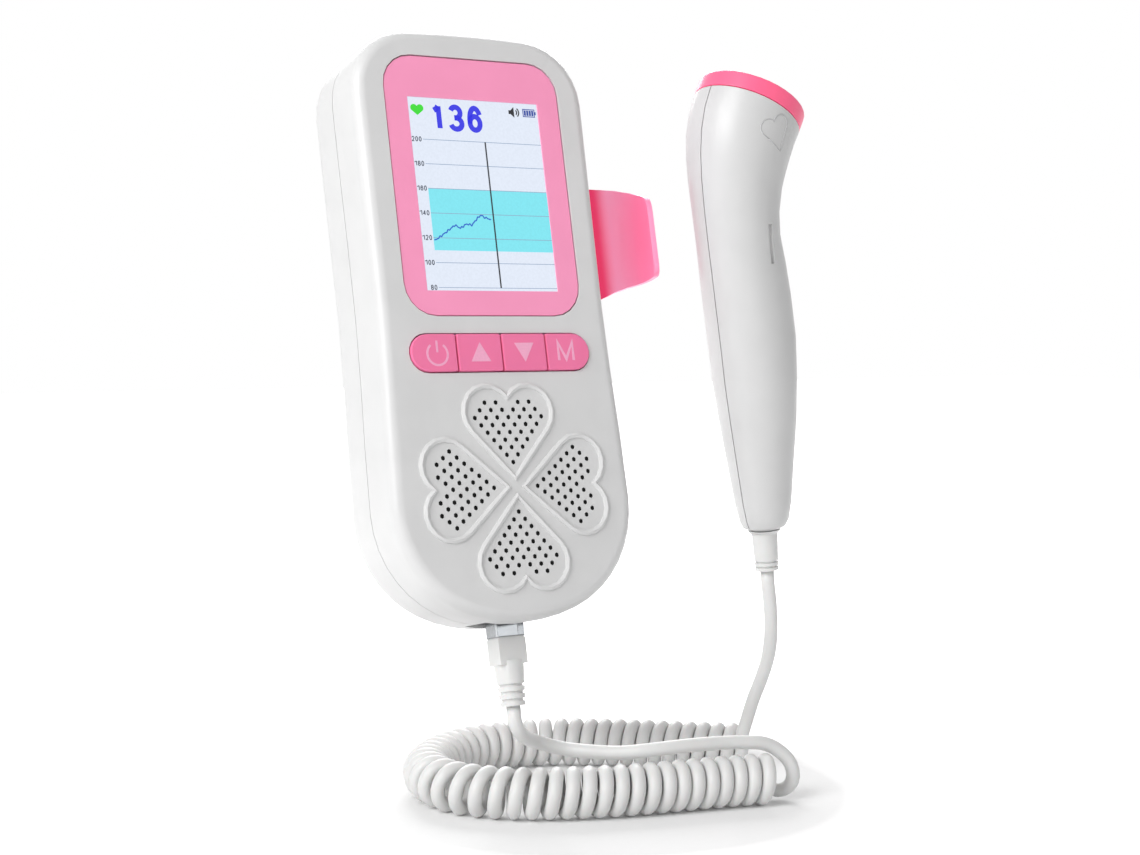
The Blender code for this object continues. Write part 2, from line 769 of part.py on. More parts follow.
def cut_button_slot(cover, parent):
    """Cut the slot that the four buttons stand in."""
    half_x, half_z = BAR_WIDTH / 2 + GAP, BAR_HEIGHT / 2 + GAP
    outline = rounded_rectangle(-half_x, half_x, -half_z - BAR_DROP, half_z - BAR_DROP, half_z)
    slot = plate_mesh("button_slot", outline, -OVERRUN, FRONT_WALL + OVERRUN)
    combine(cover, add_tool("button_slot", slot, parent), "DIFFERENCE")


def cut_socket_opening(cover, parent, name):
    """Cut the opening in the bottom wall that the socket shows through."""
    half_x = SOCKET_HALF_WIDTH + GAP
    half_y = SOCKET_THICKNESS / 2 + GAP
    low = (-half_x, parting() - half_y, -CASE_BOTTOM - OVERRUN)
    high = (half_x, parting() + half_y, -CASE_BOTTOM + 2 * BACK_WALL)
    combine(cover, add_tool(name, span_mesh(name, low, high), parent), "DIFFERENCE")


def make_front_cover(parent):
    """Make the front half of the case with its grille, window and slot."""
    cover = tray("front_cover", 0, parting() - GAP / 2, 1, FRONT_ROUNDING, FRONT_WALL, parent)
    bosses = rods_mesh(
        "front_bosses", case_screw_places(), CASE_BOSS_RADIUS - GAP, FRONT_WALL / 2, parting() - GAP / 2
    )
    combine(cover, add_tool("front_bosses", bosses, parent), "UNION")
    for index in range(HEART_COUNT):
        ridge = ridge_mesh(index)
        combine(cover, add_tool(ridge.name, ridge, parent), "UNION")
    cut_window(cover, parent)
    cut_button_slot(cover, parent)
    cut_speaker_holes(cover, parent)
    cut_socket_opening(cover, parent, "front_socket_opening")
    bores = rods_mesh(
        "front_bores", case_screw_places(), SCREW_SHANK_RADIUS + GAP, 2 * FRONT_WALL, parting() + OVERRUN
    )
    combine(cover, add_tool("front_bores", bores, parent), "DIFFERENCE")


def door_box():
    """Return the battery door's half width, top and the depth of its inner face."""
    half, _, top = tray_box()[1]
    return half + GAP, top + DOOR_LAP, CASE_DEPTH - DOOR_THICKNESS


def cut_battery_bay(cover, parent):
    """Cut the channel that the battery door slides in and the bay's mouth."""
    half, top, inner = door_box()
    channel = span_mesh(
        "door_channel",
        (-half - GAP, inner - GAP, -CASE_BOTTOM - OVERRUN),
        (half + GAP, CASE_DEPTH + OVERRUN, top + GAP),
    )
    combine(cover, add_tool("door_channel", channel, parent), "DIFFERENCE")
    low, high = tray_box()
    mouth = span_mesh(
        "bay_mouth",
        (low[0] + TRAY_WALL, high[1], low[2] + TRAY_WALL),
        (high[0] - TRAY_WALL, CASE_DEPTH + OVERRUN, high[2] - TRAY_WALL),
    )
    combine(cover, add_tool("bay_mouth", mouth, parent), "DIFFERENCE")


def add_back_bosses(cover, parent):
    """Add the screw bosses inside the back cover."""
    inside = CASE_DEPTH - BACK_WALL / 2
    bosses = rods_mesh("back_bosses", case_screw_places(), CASE_BOSS_RADIUS, parting() + GAP / 2, inside)
    combine(cover, add_tool("back_bosses", bosses, parent), "UNION")
    front = CASE_DEPTH - ARM_SCREW_LENGTH
    bosses = rods_mesh("arm_bosses", arm_screw_places(), ARM_BOSS_RADIUS, front, inside)
    combine(cover, add_tool("arm_bosses", bosses, parent), "UNION")


def cut_back_bores(cover, parent):
    """Drill the screw holes of the back cover."""
    seat = CASE_DEPTH - SCREW_SINK - SCREW_HEAD_HEIGHT
    places = case_screw_places()
    sinks = rods_mesh("head_sinks", places, SCREW_HEAD_RADIUS + GAP, seat - GAP, CASE_DEPTH + OVERRUN)
    combine(cover, add_tool("head_sinks", sinks, parent), "DIFFERENCE")
    bores = rods_mesh("back_bores", places, SCREW_SHANK_RADIUS + GAP, parting() - OVERRUN, seat)
    combine(cover, add_tool("back_bores", bores, parent), "DIFFERENCE")
    depth = CASE_DEPTH - ARM_SCREW_LENGTH + BACK_WALL
    radius = ARM_SCREW_SHANK_RADIUS + GAP
    bores = rods_mesh("arm_bores", arm_screw_places(), radius, depth, CASE_DEPTH + OVERRUN)
    combine(cover, add_tool("arm_bores", bores, parent), "DIFFERENCE")


def make_back_cover(parent):
    """Make the back half of the case with its battery bay."""
    cover = tray("back_cover", parting() + GAP / 2, CASE_DEPTH, -1, BACK_ROUNDING, BACK_WALL, parent)
    add_back_bosses(cover, parent)
    cut_battery_bay(cover, parent)
    cut_socket_opening(cover, parent, "back_socket_opening")
    cut_back_bores(cover, parent)


def make_display(parent):
    """Make the bezel, the clear pane, the display and the frame that carries it."""
    left, right, low, high = bezel_box()
    outline = rounded_rectangle(left, right, low, high, BEZEL_RADIUS)
    mesh = plate_mesh("screen_bezel", outline, BEZEL_SINK, BEZEL_SINK + BEZEL_THICKNESS)
    bezel = add_piece("screen_bezel", mesh, "pink_bezel", parent)
    half_x, half_z = SCREEN_WIDTH / 2, SCREEN_HEIGHT / 2
    opening = span_mesh("screen_opening", (-half_x, -OVERRUN, -half_z), (half_x, FRONT_WALL, half_z))
    combine(bezel, add_tool("screen_opening", opening, parent), "DIFFERENCE")

    front, back = pane_depths()
    size = (SCREEN_WIDTH + 2 * PANE_LAP, back - front, SCREEN_HEIGHT + 2 * PANE_LAP)
    pane = block_mesh("screen_pane", size)
    add_piece("screen_pane", pane, "clear_pane", parent, (0, (front + back) / 2, 0))

    width = SCREEN_WIDTH + 2 * LCD_SIDE
    bottom, top = -half_z - LCD_BELOW, half_z + LCD_ABOVE
    middle = (0, lcd_front() + LCD_THICKNESS / 2, (bottom + top) / 2)
    panel = block_mesh("lcd_panel", (width, LCD_THICKNESS, top - bottom))
    add_piece("lcd_panel", panel, "lcd_glass", parent, middle)

    half = width / 2 + GAP + LCD_FRAME_WALL
    floor = lcd_front() + LCD_THICKNESS + GAP
    low_corner = (-half, lcd_front(), bottom - GAP - LCD_FRAME_WALL)
    high_corner = (half, floor + LCD_FRAME_WALL, top + GAP + LCD_FRAME_WALL)
    frame = add_piece("lcd_frame", span_mesh("lcd_frame", low_corner, high_corner), "steel", parent)
    pocket = span_mesh(
        "lcd_pocket",
        (-width / 2 - GAP, 0, bottom - GAP),
        (width / 2 + GAP, floor, top + GAP),
    )
    combine(frame, add_tool("lcd_pocket", pocket, parent), "DIFFERENCE")


def button_outline(index, grow):
    """Return a button's outline; the outer ones end in a half circle."""
    step = BAR_WIDTH / BUTTON_COUNT
    left = -BAR_WIDTH / 2 + index * step + (BUTTON_SPLIT / 2 if index else -grow)
    right = -BAR_WIDTH / 2 + (index + 1) * step - BUTTON_SPLIT / 2
    if index == BUTTON_COUNT - 1:
        right = BAR_WIDTH / 2 + grow
    half = BAR_HEIGHT / 2 + grow
    low, high = -BAR_DROP - half, -BAR_DROP + half
    if 0 < index < BUTTON_COUNT - 1:
        return rounded_rectangle(left, right, low, high, BUTTON_CORNER, 2)
    radii = (half, BUTTON_CORNER) if index else (BUTTON_CORNER, half)
    points = []
    for corner in range(4):
        outer = (corner in (1, 2)) == (index == 0)
        radius = max(radii) if outer else min(radii)
        x = (right - radius) if corner in (0, 3) else (left + radius)
        z = (high - radius) if corner < 2 else (low + radius)
        steps = 5 if outer else 2
        points += arc((x, z), radius, corner * RIGHT_ANGLE, (corner + 1) * RIGHT_ANGLE, steps)
    return [p for i, p in enumerate(points) if math.dist(p, points[i - 1]) > WELD]


def button_centre(index):
    """Return the x of a button's middle."""
    return (index + 0.5) * BAR_WIDTH / BUTTON_COUNT - BAR_WIDTH / 2


def make_buttons(parent):
    """Make the four push buttons and the switches behind them."""
    front = lcd_front()
    back = front + BUTTON_LIP_THICKNESS
    for index, name in enumerate(BUTTON_NAMES):
        cap = plate_mesh(name + "_button", button_outline(index, 0), -BUTTON_PROUD, (front + back) / 2)
        button = add_piece(name + "_button", cap, "pink_button", parent)
        bevel(button, BUTTON_EDGE, 2, BUTTON_EDGE_ANGLE)
        flange = plate_mesh(name + "_lip", button_outline(index, BUTTON_LIP), front, back)
        combine(button, add_tool(name + "_lip", flange, parent), "UNION")
        make_switch(name + "_switch", button_centre(index), parent)


def make_switch(name, x, parent):
    """Make one tact switch: a box on the board with a round plunger."""
    top = lcd_front() + BUTTON_LIP_THICKNESS + BUTTON_TRAVEL + GAP / 2
    face = top + SWITCH_PLUNGER_HEIGHT
    half = SWITCH_WIDTH / 2
    low = (x - half, face, -BAR_DROP - half)
    high = (x + half, board_front() - GAP, -BAR_DROP + half)
    switch = add_piece(name, span_mesh(name, low, high), "dark_plastic", parent)
    plunger = rods_mesh(name + "_plunger", [(x, -BAR_DROP)], SWITCH_PLUNGER_RADIUS, top, face + GAP)
    combine(switch, add_tool(name + "_plunger", plunger, parent), "UNION")


def make_board(parent):
    """Make the circuit board and its processor."""
    half = SHOULDER_HALF - CASE_SCREW_UPPER_INSET - BOARD_SCREW_INSET
    outline = rounded_rectangle(-half, half, -BOARD_BOTTOM, BOARD_TOP, BOARD_CORNER, 3)
    board = plate_mesh("main_board", outline, board_front(), board_back())
    add_piece("main_board", board, "board_green", parent)
    chip = block_mesh("processor_chip", (CHIP_WIDTH, CHIP_THICKNESS, CHIP_WIDTH))
    place = (0, board_back() + GAP + CHIP_THICKNESS / 2, CHIP_LIFT)
    add_piece("processor_chip", chip, "dark_plastic", parent, place)


def make_speaker(parent):
    """Make the speaker's basket, cone and magnet, turned about the clover's centre."""
    place = (0, FRONT_WALL + GAP, -CLOVER_DROP)
    turn = (-RIGHT_ANGLE, 0, 0)
    rim_inner = SPEAKER_RADIUS - SPEAKER_RIM
    basket = (
        (SPEAKER_RADIUS, SPEAKER_SHEET),
        (SPEAKER_RADIUS, 0),
        (rim_inner, 0),
        (SPEAKER_BACK_RADIUS - SPEAKER_SHEET / 2, SPEAKER_DEPTH - SPEAKER_SHEET),
        (SPEAKER_COIL_RADIUS, SPEAKER_DEPTH - SPEAKER_SHEET),
        (SPEAKER_COIL_RADIUS, SPEAKER_DEPTH),
        (SPEAKER_BACK_RADIUS, SPEAKER_DEPTH),
        (rim_inner + SPEAKER_SHEET, SPEAKER_SHEET),
    )
    add_turned("speaker_basket", basket, "steel", parent, place, turn, ROUND_SIDES)
    cone_back = SPEAKER_DEPTH - SPEAKER_SHEET - GAP
    cone = (
        (0, cone_back),
        (SPEAKER_BACK_RADIUS - SPEAKER_SHEET - GAP, cone_back),
        (rim_inner - 2 * GAP, 0),
        (rim_inner - 2 * GAP - 2 * CONE_SHEET, 0),
        (SPEAKER_BACK_RADIUS - SPEAKER_SHEET - GAP - CONE_SHEET, cone_back - CONE_SHEET),
        (0, cone_back - CONE_SHEET),
    )
    add_turned("speaker_cone", cone, "speaker_paper", parent, place, turn, ROUND_SIDES)
    low = SPEAKER_DEPTH + GAP
    high = low + MAGNET_HEIGHT
    magnet = ((0, high), (MAGNET_RADIUS, high), (MAGNET_RADIUS, low), (0, low))
    add_turned("speaker_magnet", magnet, "steel", parent, place, turn, ROUND_SIDES)


def make_battery_tray(parent):
    """Make the tray that the two cells lie in."""
    low, high = tray_box()
    tray_piece = add_piece("battery_tray", span_mesh("battery_tray", low, high), "dark_plastic", parent)
    hollow = span_mesh(
        "tray_hollow",
        [a + TRAY_WALL for a in low],
        (high[0] - TRAY_WALL, high[1] + OVERRUN, high[2] - TRAY_WALL),
    )
    combine(tray_piece, add_tool("tray_hollow", hollow, parent), "DIFFERENCE")


def make_cells(parent):
    """Make the two cells, laid head to tail, with their springs and the plate that joins them."""
    low, high = tray_box()
    top = high[2] - TRAY_WALL - GAP
    plate_low = top - CONTACT_THICKNESS
    half = CELL_HALF_PITCH + SPRING_WIDE_RADIUS
    depth = cell_depth()
    contact = span_mesh(
        "contact_plate",
        (-half, depth - SPRING_WIDE_RADIUS, plate_low),
        (half, depth + SPRING_WIDE_RADIUS, top),
    )
    add_piece("contact_plate", contact, "steel", parent)
    body = (
        (0, CELL_LENGTH / 2 + CELL_NUB_HEIGHT),
        (CELL_NUB_RADIUS, CELL_LENGTH / 2 + CELL_NUB_HEIGHT),
        (CELL_NUB_RADIUS, CELL_LENGTH / 2),
        (CELL_RADIUS, CELL_LENGTH / 2),
        (CELL_RADIUS, -CELL_LENGTH / 2),
        (0, -CELL_LENGTH / 2),
    )
    spring_floor = low[2] + TRAY_WALL + GAP
    spring_top = plate_low - GAP - CELL_LENGTH - CELL_NUB_HEIGHT - GAP
    spring = (
        (0, spring_top),
        (SPRING_NARROW_RADIUS, spring_top),
        (SPRING_WIDE_RADIUS, spring_floor),
        (0, spring_floor),
    )
    for index, side in enumerate((-1, 1)):
        x = side * CELL_HALF_PITCH
        name = "battery_cell_%d" % (index + 1)
        nub = CELL_NUB_HEIGHT if side > 0 else 0
        middle = plate_low - GAP - nub - CELL_LENGTH / 2
        turn = (0, 0, 0) if side > 0 else (2 * RIGHT_ANGLE, 0, 0)
        add_turned(name, body, "cell_wrap", parent, (x, depth, middle), turn, ROUND_SIDES)
        add_turned("battery_spring_%d" % (index + 1), spring, "steel", parent, (x, depth, 0))


def make_battery_door(parent):
    """Make the sliding door: the slice of the case's own rounded back that fills the channel."""
    half, top, inner = door_box()
    solid = plate_mesh("battery_door", case_outline(), parting(), CASE_DEPTH)
    door = add_piece("battery_door", solid, "white_shell", parent)
    bevel(door, BACK_ROUNDING, ROUNDING_STEPS)
    low = (-half, inner, -CASE_BOTTOM - OVERRUN)
    bounds = span_mesh("door_bounds", low, (half, CASE_DEPTH + OVERRUN, top))
    combine(door, add_tool("door_bounds", bounds, parent), "INTERSECT")
    bm = bmesh.new()
    for index in range(DOOR_RIB_COUNT):
        height = top - DOOR_RIB_DROP - index * DOOR_RIB_STEP
        matrix = Matrix.Translation((0, CASE_DEPTH, height)) @ Matrix.Rotation(RIGHT_ANGLE, 4, "Y")
        bmesh.ops.create_cone(
            bm, cap_ends=True, segments=6, radius1=DOOR_RIB_RADIUS, radius2=DOOR_RIB_RADIUS,
            depth=DOOR_RIB_WIDTH, matrix=matrix,
        )
    combine(door, add_tool("door_ribs", mesh_from(bm, "door_ribs"), parent), "UNION")
    smooth(door)


def screw_profile(head_radius, head_height, shank_radius, length):
    """Return a screw's profile, its head's seat at height zero."""
    return (
        (0, head_height),
        (head_radius, head_height),
        (head_radius, 0),
        (shank_radius, 0),
        (shank_radius, -length),
        (0, -length),
    )


def make_screws(parent):
    """Make the four case screws and the two arm screws."""
    turn = (-RIGHT_ANGLE, 0, 0)
    shape = screw_profile(SCREW_HEAD_RADIUS, SCREW_HEAD_HEIGHT, SCREW_SHANK_RADIUS, SCREW_LENGTH)
    seat = CASE_DEPTH - SCREW_SINK - SCREW_HEAD_HEIGHT
    for index, (x, z) in enumerate(case_screw_places()):
        add_turned("case_screw_%d" % (index + 1), shape, "steel", parent, (x, seat, z), turn)
    shank = ARM_SCREW_LENGTH - ARM_THICKNESS - GAP
    shape = screw_profile(ARM_SCREW_HEAD_RADIUS, ARM_SCREW_HEAD_HEIGHT, ARM_SCREW_SHANK_RADIUS, shank)
    seat = CASE_DEPTH + GAP + ARM_THICKNESS - ARM_SCREW_HEAD_HEIGHT
    for index, (x, z) in enumerate(arm_screw_places()):
        add_turned("arm_screw_%d" % (index + 1), shape, "steel", parent, (x, seat, z), turn)


def arm_stations():
    """Return the arm's stations: how far each is from the bend's start, its low edge and its high edge."""
    reach = (ARM_INNER_RADIUS + ARM_THICKNESS / 2) * (RIGHT_ANGLE - ARM_END_ANGLE)
    top, low = ARM_HEIGHT / 2 - ARM_DROP, -ARM_HEIGHT / 2 - ARM_DROP
    sink = ARM_TIP_FALL_SHARE * ARM_HEIGHT + ARM_TIP_UPPER_RADIUS * math.sin(ARM_TIP_SLANT)
    rise = ARM_LOWER_SHARES[-1][1] * ARM_HEIGHT + ARM_TIP_LOWER_RADIUS
    upper = [(reach * along, top - ARM_HEIGHT * fall) for along, fall in ARM_UPPER_SHARES]
    upper += arc((reach - ARM_TIP_UPPER_RADIUS, top - sink), ARM_TIP_UPPER_RADIUS, ARM_TIP_SLANT, 0, 7)
    lower = [(reach * along, low + ARM_HEIGHT * lift) for along, lift in ARM_LOWER_SHARES]
    lower += arc((reach - ARM_TIP_LOWER_RADIUS, low + rise), ARM_TIP_LOWER_RADIUS, -RIGHT_ANGLE, 0, 6)
    high_edge, low_edge = np.array(upper).T, np.array(lower).T
    stations = []
    for inset, back in arc((ARM_LEFT_RADIUS, ARM_LEFT_RADIUS), ARM_LEFT_RADIUS, 2 * RIGHT_ANGLE, 3 * RIGHT_ANGLE, 4):
        stations.append((inset - ARM_LEFT - ARM_BEND_X, low + back, top - back))
    bend = [reach * step / ARM_BEND_STEPS for step in range(ARM_BEND_STEPS)]
    for along in sorted(bend + [x for x, _ in upper + lower]):
        if along - stations[-1][0] > ARM_LEAST_STEP:
            stations.append((along, np.interp(along, *low_edge), np.interp(along, *high_edge)))
    return stations


def arm_mesh():
    """Return the arm as a bent plate, with a ring of four corners at each station."""
    inner = CASE_DEPTH + GAP - ARM_INNER_RADIUS
    outer_radius = ARM_INNER_RADIUS + ARM_THICKNESS
    bm = bmesh.new()
    rings = []
    for along, low, high in arm_stations():
        angle = max(along, 0) / (ARM_INNER_RADIUS + ARM_THICKNESS / 2)
        start = ARM_BEND_X + min(along, 0)
        corners = ((ARM_INNER_RADIUS, low), (ARM_INNER_RADIUS, high), (outer_radius, high), (outer_radius, low))
        rings.append([
            bm.verts.new((start + radius * math.sin(angle), inner + radius * math.cos(angle), z))
            for radius, z in corners
        ])
    for near, far in zip(rings, rings[1:]):
        for side in range(len(near)):
            bm.faces.new((near[side - 1], near[side], far[side], far[side - 1]))
    bm.faces.new(rings[0])
    bm.faces.new(rings[-1][::-1])
    bmesh.ops.triangulate(bm, faces=bm.faces)
    return mesh_from(bm, "probe_arm")


def make_arm(parent):
    """Make the arm that cradles the probe beside the case."""
    arm = add_piece("probe_arm", arm_mesh(), "pink_arm", parent)
    seat = CASE_DEPTH + GAP + ARM_THICKNESS - ARM_SCREW_HEAD_HEIGHT
    beyond = 2 * CASE_DEPTH
    radius = ARM_SCREW_HEAD_RADIUS + GAP
    sinks = rods_mesh("arm_sinks", arm_screw_places(), radius, seat - GAP, beyond)
    combine(arm, add_tool("arm_sinks", sinks, parent), "DIFFERENCE")
    radius = ARM_SCREW_SHANK_RADIUS + GAP
    holes = rods_mesh("arm_holes", arm_screw_places(), radius, CASE_DEPTH, beyond)
    combine(arm, add_tool("arm_holes", holes, parent), "DIFFERENCE")
    smooth(arm)


def make_socket(parent):
    """Make the modular socket between the covers, open at the bottom."""
    half_y = SOCKET_THICKNESS / 2
    body = span_mesh(
        "probe_socket",
        (-SOCKET_HALF_WIDTH, parting() - half_y, socket_mouth()),
        (SOCKET_HALF_WIDTH, parting() + half_y, socket_top()),
    )
    socket = add_piece("probe_socket", body, "dark_plastic", parent)
    half_x = PLUG_WIDTH / 2 + GAP
    front = parting() - PLUG_THICKNESS / 2 - GAP
    back = parting() + half_y - TRAY_WALL
    cavity = span_mesh(
        "socket_cavity",
        (-half_x, front, socket_mouth() - OVERRUN),
        (half_x, back, socket_top() - SOCKET_FLOOR),
    )
    combine(socket, add_tool("socket_cavity", cavity, parent), "DIFFERENCE")


def plug_end():
    """Return the height of the plug's lower end, where the boot begins."""
    return -CASE_BOTTOM - PLUG_SHOWING


def boot_end():
    """Return the height where the cord leaves the boot."""
    return plug_end() - GAP - BOOT_BLOCK_HEIGHT - BOOT_CONE_HEIGHT


def make_plug(parent):
    """Make the clear modular plug with its latch."""
    top = socket_mouth() + PLUG_INSERTED
    body = span_mesh(
        "plug_body",
        (-PLUG_WIDTH / 2, parting() - PLUG_THICKNESS / 2, plug_end()),
        (PLUG_WIDTH / 2, parting() + PLUG_THICKNESS / 2, top),
    )
    plug = add_piece("plug_body", body, "clear_plug", parent)
    lever = block_mesh("plug_latch", (LATCH_WIDTH, LATCH_THICKNESS, LATCH_LENGTH))
    place = (0, parting() + PLUG_THICKNESS / 2 + LATCH_THICKNESS / 3, top - LATCH_LENGTH / 2 - OVERRUN)
    combine(plug, add_tool("plug_latch", lever, parent, place, (LATCH_ANGLE, 0, 0)), "UNION")


def grooved_cone(top_radius, end_radius, height, count, depth, width):
    """Return the lower profile of a tapered relief with ring grooves, top to bottom."""
    def radius_at(z):
        return top_radius + (end_radius - top_radius) * (-z / height)

    points = [(top_radius, 0)]
    pitch = GROOVE_PITCH_SHARE * width
    first = height - count * pitch
    for index in range(count):
        start = -first - index * pitch
        end = start - width
        points += [(radius_at(start), start), (radius_at(start) - depth, start)]
        points += [(radius_at(end) - depth, end), (radius_at(end), end)]
    return points + [(end_radius, -height), (0, -height)]


def make_boot(parent):
    """Make the plug's boot: a block, then a grooved taper."""
    block_top = plug_end() - GAP
    block_low = block_top - BOOT_BLOCK_HEIGHT
    cone = [(0, OVERRUN), (BOOT_TOP_RADIUS, OVERRUN)]
    cone += grooved_cone(
        BOOT_TOP_RADIUS, BOOT_END_RADIUS, BOOT_CONE_HEIGHT,
        BOOT_GROOVE_COUNT, BOOT_GROOVE_DEPTH, BOOT_GROOVE_WIDTH,
    )
    boot = add_turned("plug_boot", cone, "white_cord", parent, (0, parting(), block_low))
    block = block_mesh("boot_block", (PLUG_WIDTH, PLUG_THICKNESS, BOOT_BLOCK_HEIGHT))
    place = (0, parting(), (block_top + block_low) / 2)
    combine(boot, add_tool("boot_block", block, parent, place), "UNION")


def probe_station(shares):
    """Return a section's centre in the probe's frame, its radius and its tilt."""
    height, sway, radius, tilt = shares
    centre = Vector((PROBE_GRIP_SHIFT - sway * PROBE_SWAY, 0, height * PROBE_HEIGHT - PROBE_GRIP_DROP))
    return centre, radius * PROBE_HEAD_RADIUS, tilt * PROBE_HEAD_TILT


def probe_skin(name):
    """Loft the probe's outer skin through its stations, open at both ends."""
    bm = bmesh.new()
    rings = []
    for shares in PROBE_STATION_SHARES:
        centre, radius, tilt = probe_station(shares)
        lean = Matrix.Rotation(tilt, 3, "Y")
        angles = [FULL_TURN * step / PROBE_SIDES for step in range(PROBE_SIDES)]
        ring = [lean @ Vector((radius * math.cos(a), radius * math.sin(a), 0)) + centre for a in angles]
        rings.append([bm.verts.new(place) for place in ring])
    for low, high in zip(rings, rings[1:]):
        for step in range(PROBE_SIDES):
            after = (step + 1) % PROBE_SIDES
            bm.faces.new((low[step], low[after], high[after], high[step]))
    mesh = bpy.data.meshes.new(name)
    bm.to_mesh(mesh)
    bm.free()
    return mesh


def make_probe_shells(parent):
    """Make the probe's two half shells, parted along the plane it bends in."""
    reach = PROBE_HEIGHT
    for name, side in (("probe_shell_left", 1), ("probe_shell_right", -1)):
        shell = add_piece(name, probe_skin(name), "white_shell", parent)
        wall = shell.modifiers.new("wall", "SOLIDIFY")
        wall.thickness = PROBE_WALL
        wall.offset = -1
        wall.use_even_offset = True
        beyond, seam = -side * reach, side * GAP / 2
        low = (-reach, min(beyond, seam), -reach)
        high = (reach, max(beyond, seam), reach)
        combine(shell, add_tool(name + "_seam", span_mesh(name + "_seam", low, high), parent), "DIFFERENCE")
        cut_thumb_slot(shell, name + "_slot", side, parent)
        smooth(shell)


def cut_thumb_slot(shell, name, side, parent):
    """Cut the narrow blind slot in the flank of a half shell."""
    centre, radius, tilt = probe_station(PROBE_STATION_SHARES[SLOT_STATION_INDEX])
    floor = math.sqrt(radius ** 2 - SLOT_SHIFT ** 2) - SLOT_DEPTH
    slot = block_mesh(name, (SLOT_WIDTH, 2 * SLOT_DEPTH + OVERRUN, SLOT_LENGTH))
    aside = Vector((SLOT_SHIFT, side * (floor + SLOT_DEPTH + OVERRUN / 2), -SLOT_DROP))
    place = centre + Matrix.Rotation(tilt, 3, "Y") @ aside
    combine(shell, add_tool(name, slot, parent, place, (0, tilt, 0)), "DIFFERENCE")


def make_probe_head(parent):
    """Make the ring, the acoustic window, the two crystals and their backing."""
    ring_low, ring_top = GAP, GAP + RING_HEIGHT
    inner = PROBE_HEAD_RADIUS - RING_WALL
    ledge = ring_top - WINDOW_SINK - WINDOW_THICKNESS - GAP
    ring = (
        (PROBE_HEAD_RADIUS - RING_EDGE, ring_top),
        (PROBE_HEAD_RADIUS, ring_top - RING_EDGE),
        (PROBE_HEAD_RADIUS, ring_low),
        (inner - RING_LEDGE, ring_low),
        (inner - RING_LEDGE, ledge),
        (inner, ledge),
        (inner, ring_top),
    )
    add_turned("probe_ring", ring, "pink_bezel", parent, sides=PROBE_SIDES)
    window_low, window_top = ledge + GAP, ring_top - WINDOW_SINK
    window = ((0, window_top), (inner - GAP, window_top), (inner - GAP, window_low), (0, window_low))
    add_turned("acoustic_window", window, "window_resin", parent, sides=PROBE_SIDES)
    crystal_top = window_low - GAP
    crystal_low = crystal_top - CRYSTAL_THICKNESS
    for name, side in (("transmit_crystal", 1), ("receive_crystal", -1)):
        half_disc = [(side * (x + CRYSTAL_SPLIT / 2), z) for x, z in
                     arc((0, 0), CRYSTAL_RADIUS, -RIGHT_ANGLE, RIGHT_ANGLE, 8)]
        mesh = plate_mesh(name, half_disc, -crystal_top, -crystal_low)
        mesh.transform(Matrix.Rotation(-RIGHT_ANGLE, 4, "X"))
        add_piece(name, mesh, "crystal", parent)
    top = crystal_low - GAP
    radius = inner - RING_LEDGE - GAP
    backing = ((0, top), (radius, top), (radius, top - BACKING_HEIGHT), (0, top - BACKING_HEIGHT))
    add_turned("transducer_backing", backing, "dark_plastic", parent, sides=ROUND_SIDES)


def make_probe_board(parent):
    """Make the board that lies along the parting plane inside the grip."""
    board = block_mesh("probe_board", (PROBE_BOARD_WIDTH, PROBE_BOARD_THICKNESS, PROBE_BOARD_LENGTH))
    place = (PROBE_GRIP_SHIFT - PROBE_BOARD_SWAY, 0, PROBE_BOARD_HEIGHT - PROBE_GRIP_DROP)
    add_piece("probe_board", board, "board_green", parent, place, (0, PROBE_BOARD_TILT, 0))


def make_relief(parent):
    """Make the strain relief, held by its flange inside the grip's end."""
    wall = PROBE_WALL + 2 * GAP
    neck = PROBE_STATION_SHARES[0][2] * PROBE_HEAD_RADIUS - GAP
    points = [
        (0, wall + RELIEF_FLANGE_HEIGHT),
        (RELIEF_FLANGE_RADIUS, wall + RELIEF_FLANGE_HEIGHT),
        (RELIEF_FLANGE_RADIUS, wall),
        (neck, wall),
        (neck, -GAP),
        (RELIEF_COLLAR_RADIUS, -GAP),
    ]
    stem = grooved_cone(
        RELIEF_STEM_RADIUS, RELIEF_TIP_RADIUS, RELIEF_LENGTH - RELIEF_COLLAR_HEIGHT, RELIEF_GROOVE_COUNT,
        RELIEF_GROOVE_DEPTH, RELIEF_GROOVE_WIDTH,
    )
    points += [(radius, z - RELIEF_COLLAR_HEIGHT) for radius, z in stem]
    add_turned("probe_strain_relief", points, "white_cord", parent)


def smooth_path(points, step):
    """Read points at an even step from a smooth curve through all but the first and last."""
    points = np.array(points)
    fine = []
    for a, b, c, d in zip(points, points[1:], points[2:], points[3:]):
        count = max(2, int(np.linalg.norm(c - b) / FINE_STEP))
        for t in np.arange(count) / count:
            fine.append(
                b + t * (c - a) / 2
                + t ** 2 * (a - 2.5 * b + 2 * c - 0.5 * d)
                + t ** 3 * (1.5 * (b - c) + 0.5 * (d - a))
            )
    fine = np.array(fine + [points[-2]])
    along = np.append(0, np.cumsum(np.linalg.norm(np.diff(fine, axis=0), axis=1)))
    read = np.linspace(0, along[-1], max(2, round(along[-1] / step)) + 1)
    return np.stack([np.interp(read, along, fine[:, i]) for i in range(3)], 1)


def with_ends(points):
    """Repeat the first and last steps, so that a smooth path reaches both ends."""
    points = np.array(points)
    return np.vstack([2 * points[0] - points[1], points, 2 * points[-1] - points[-2]])


def squared_path(points, step):
    """Smooth a route between its straight first and last stretches, which stay as they are."""
    return np.vstack([points[0], smooth_path(points, step), points[-1]])


def path_length(points):
    """Return the length of a chain of points."""
    return float(np.linalg.norm(np.diff(points, axis=0), axis=1).sum())


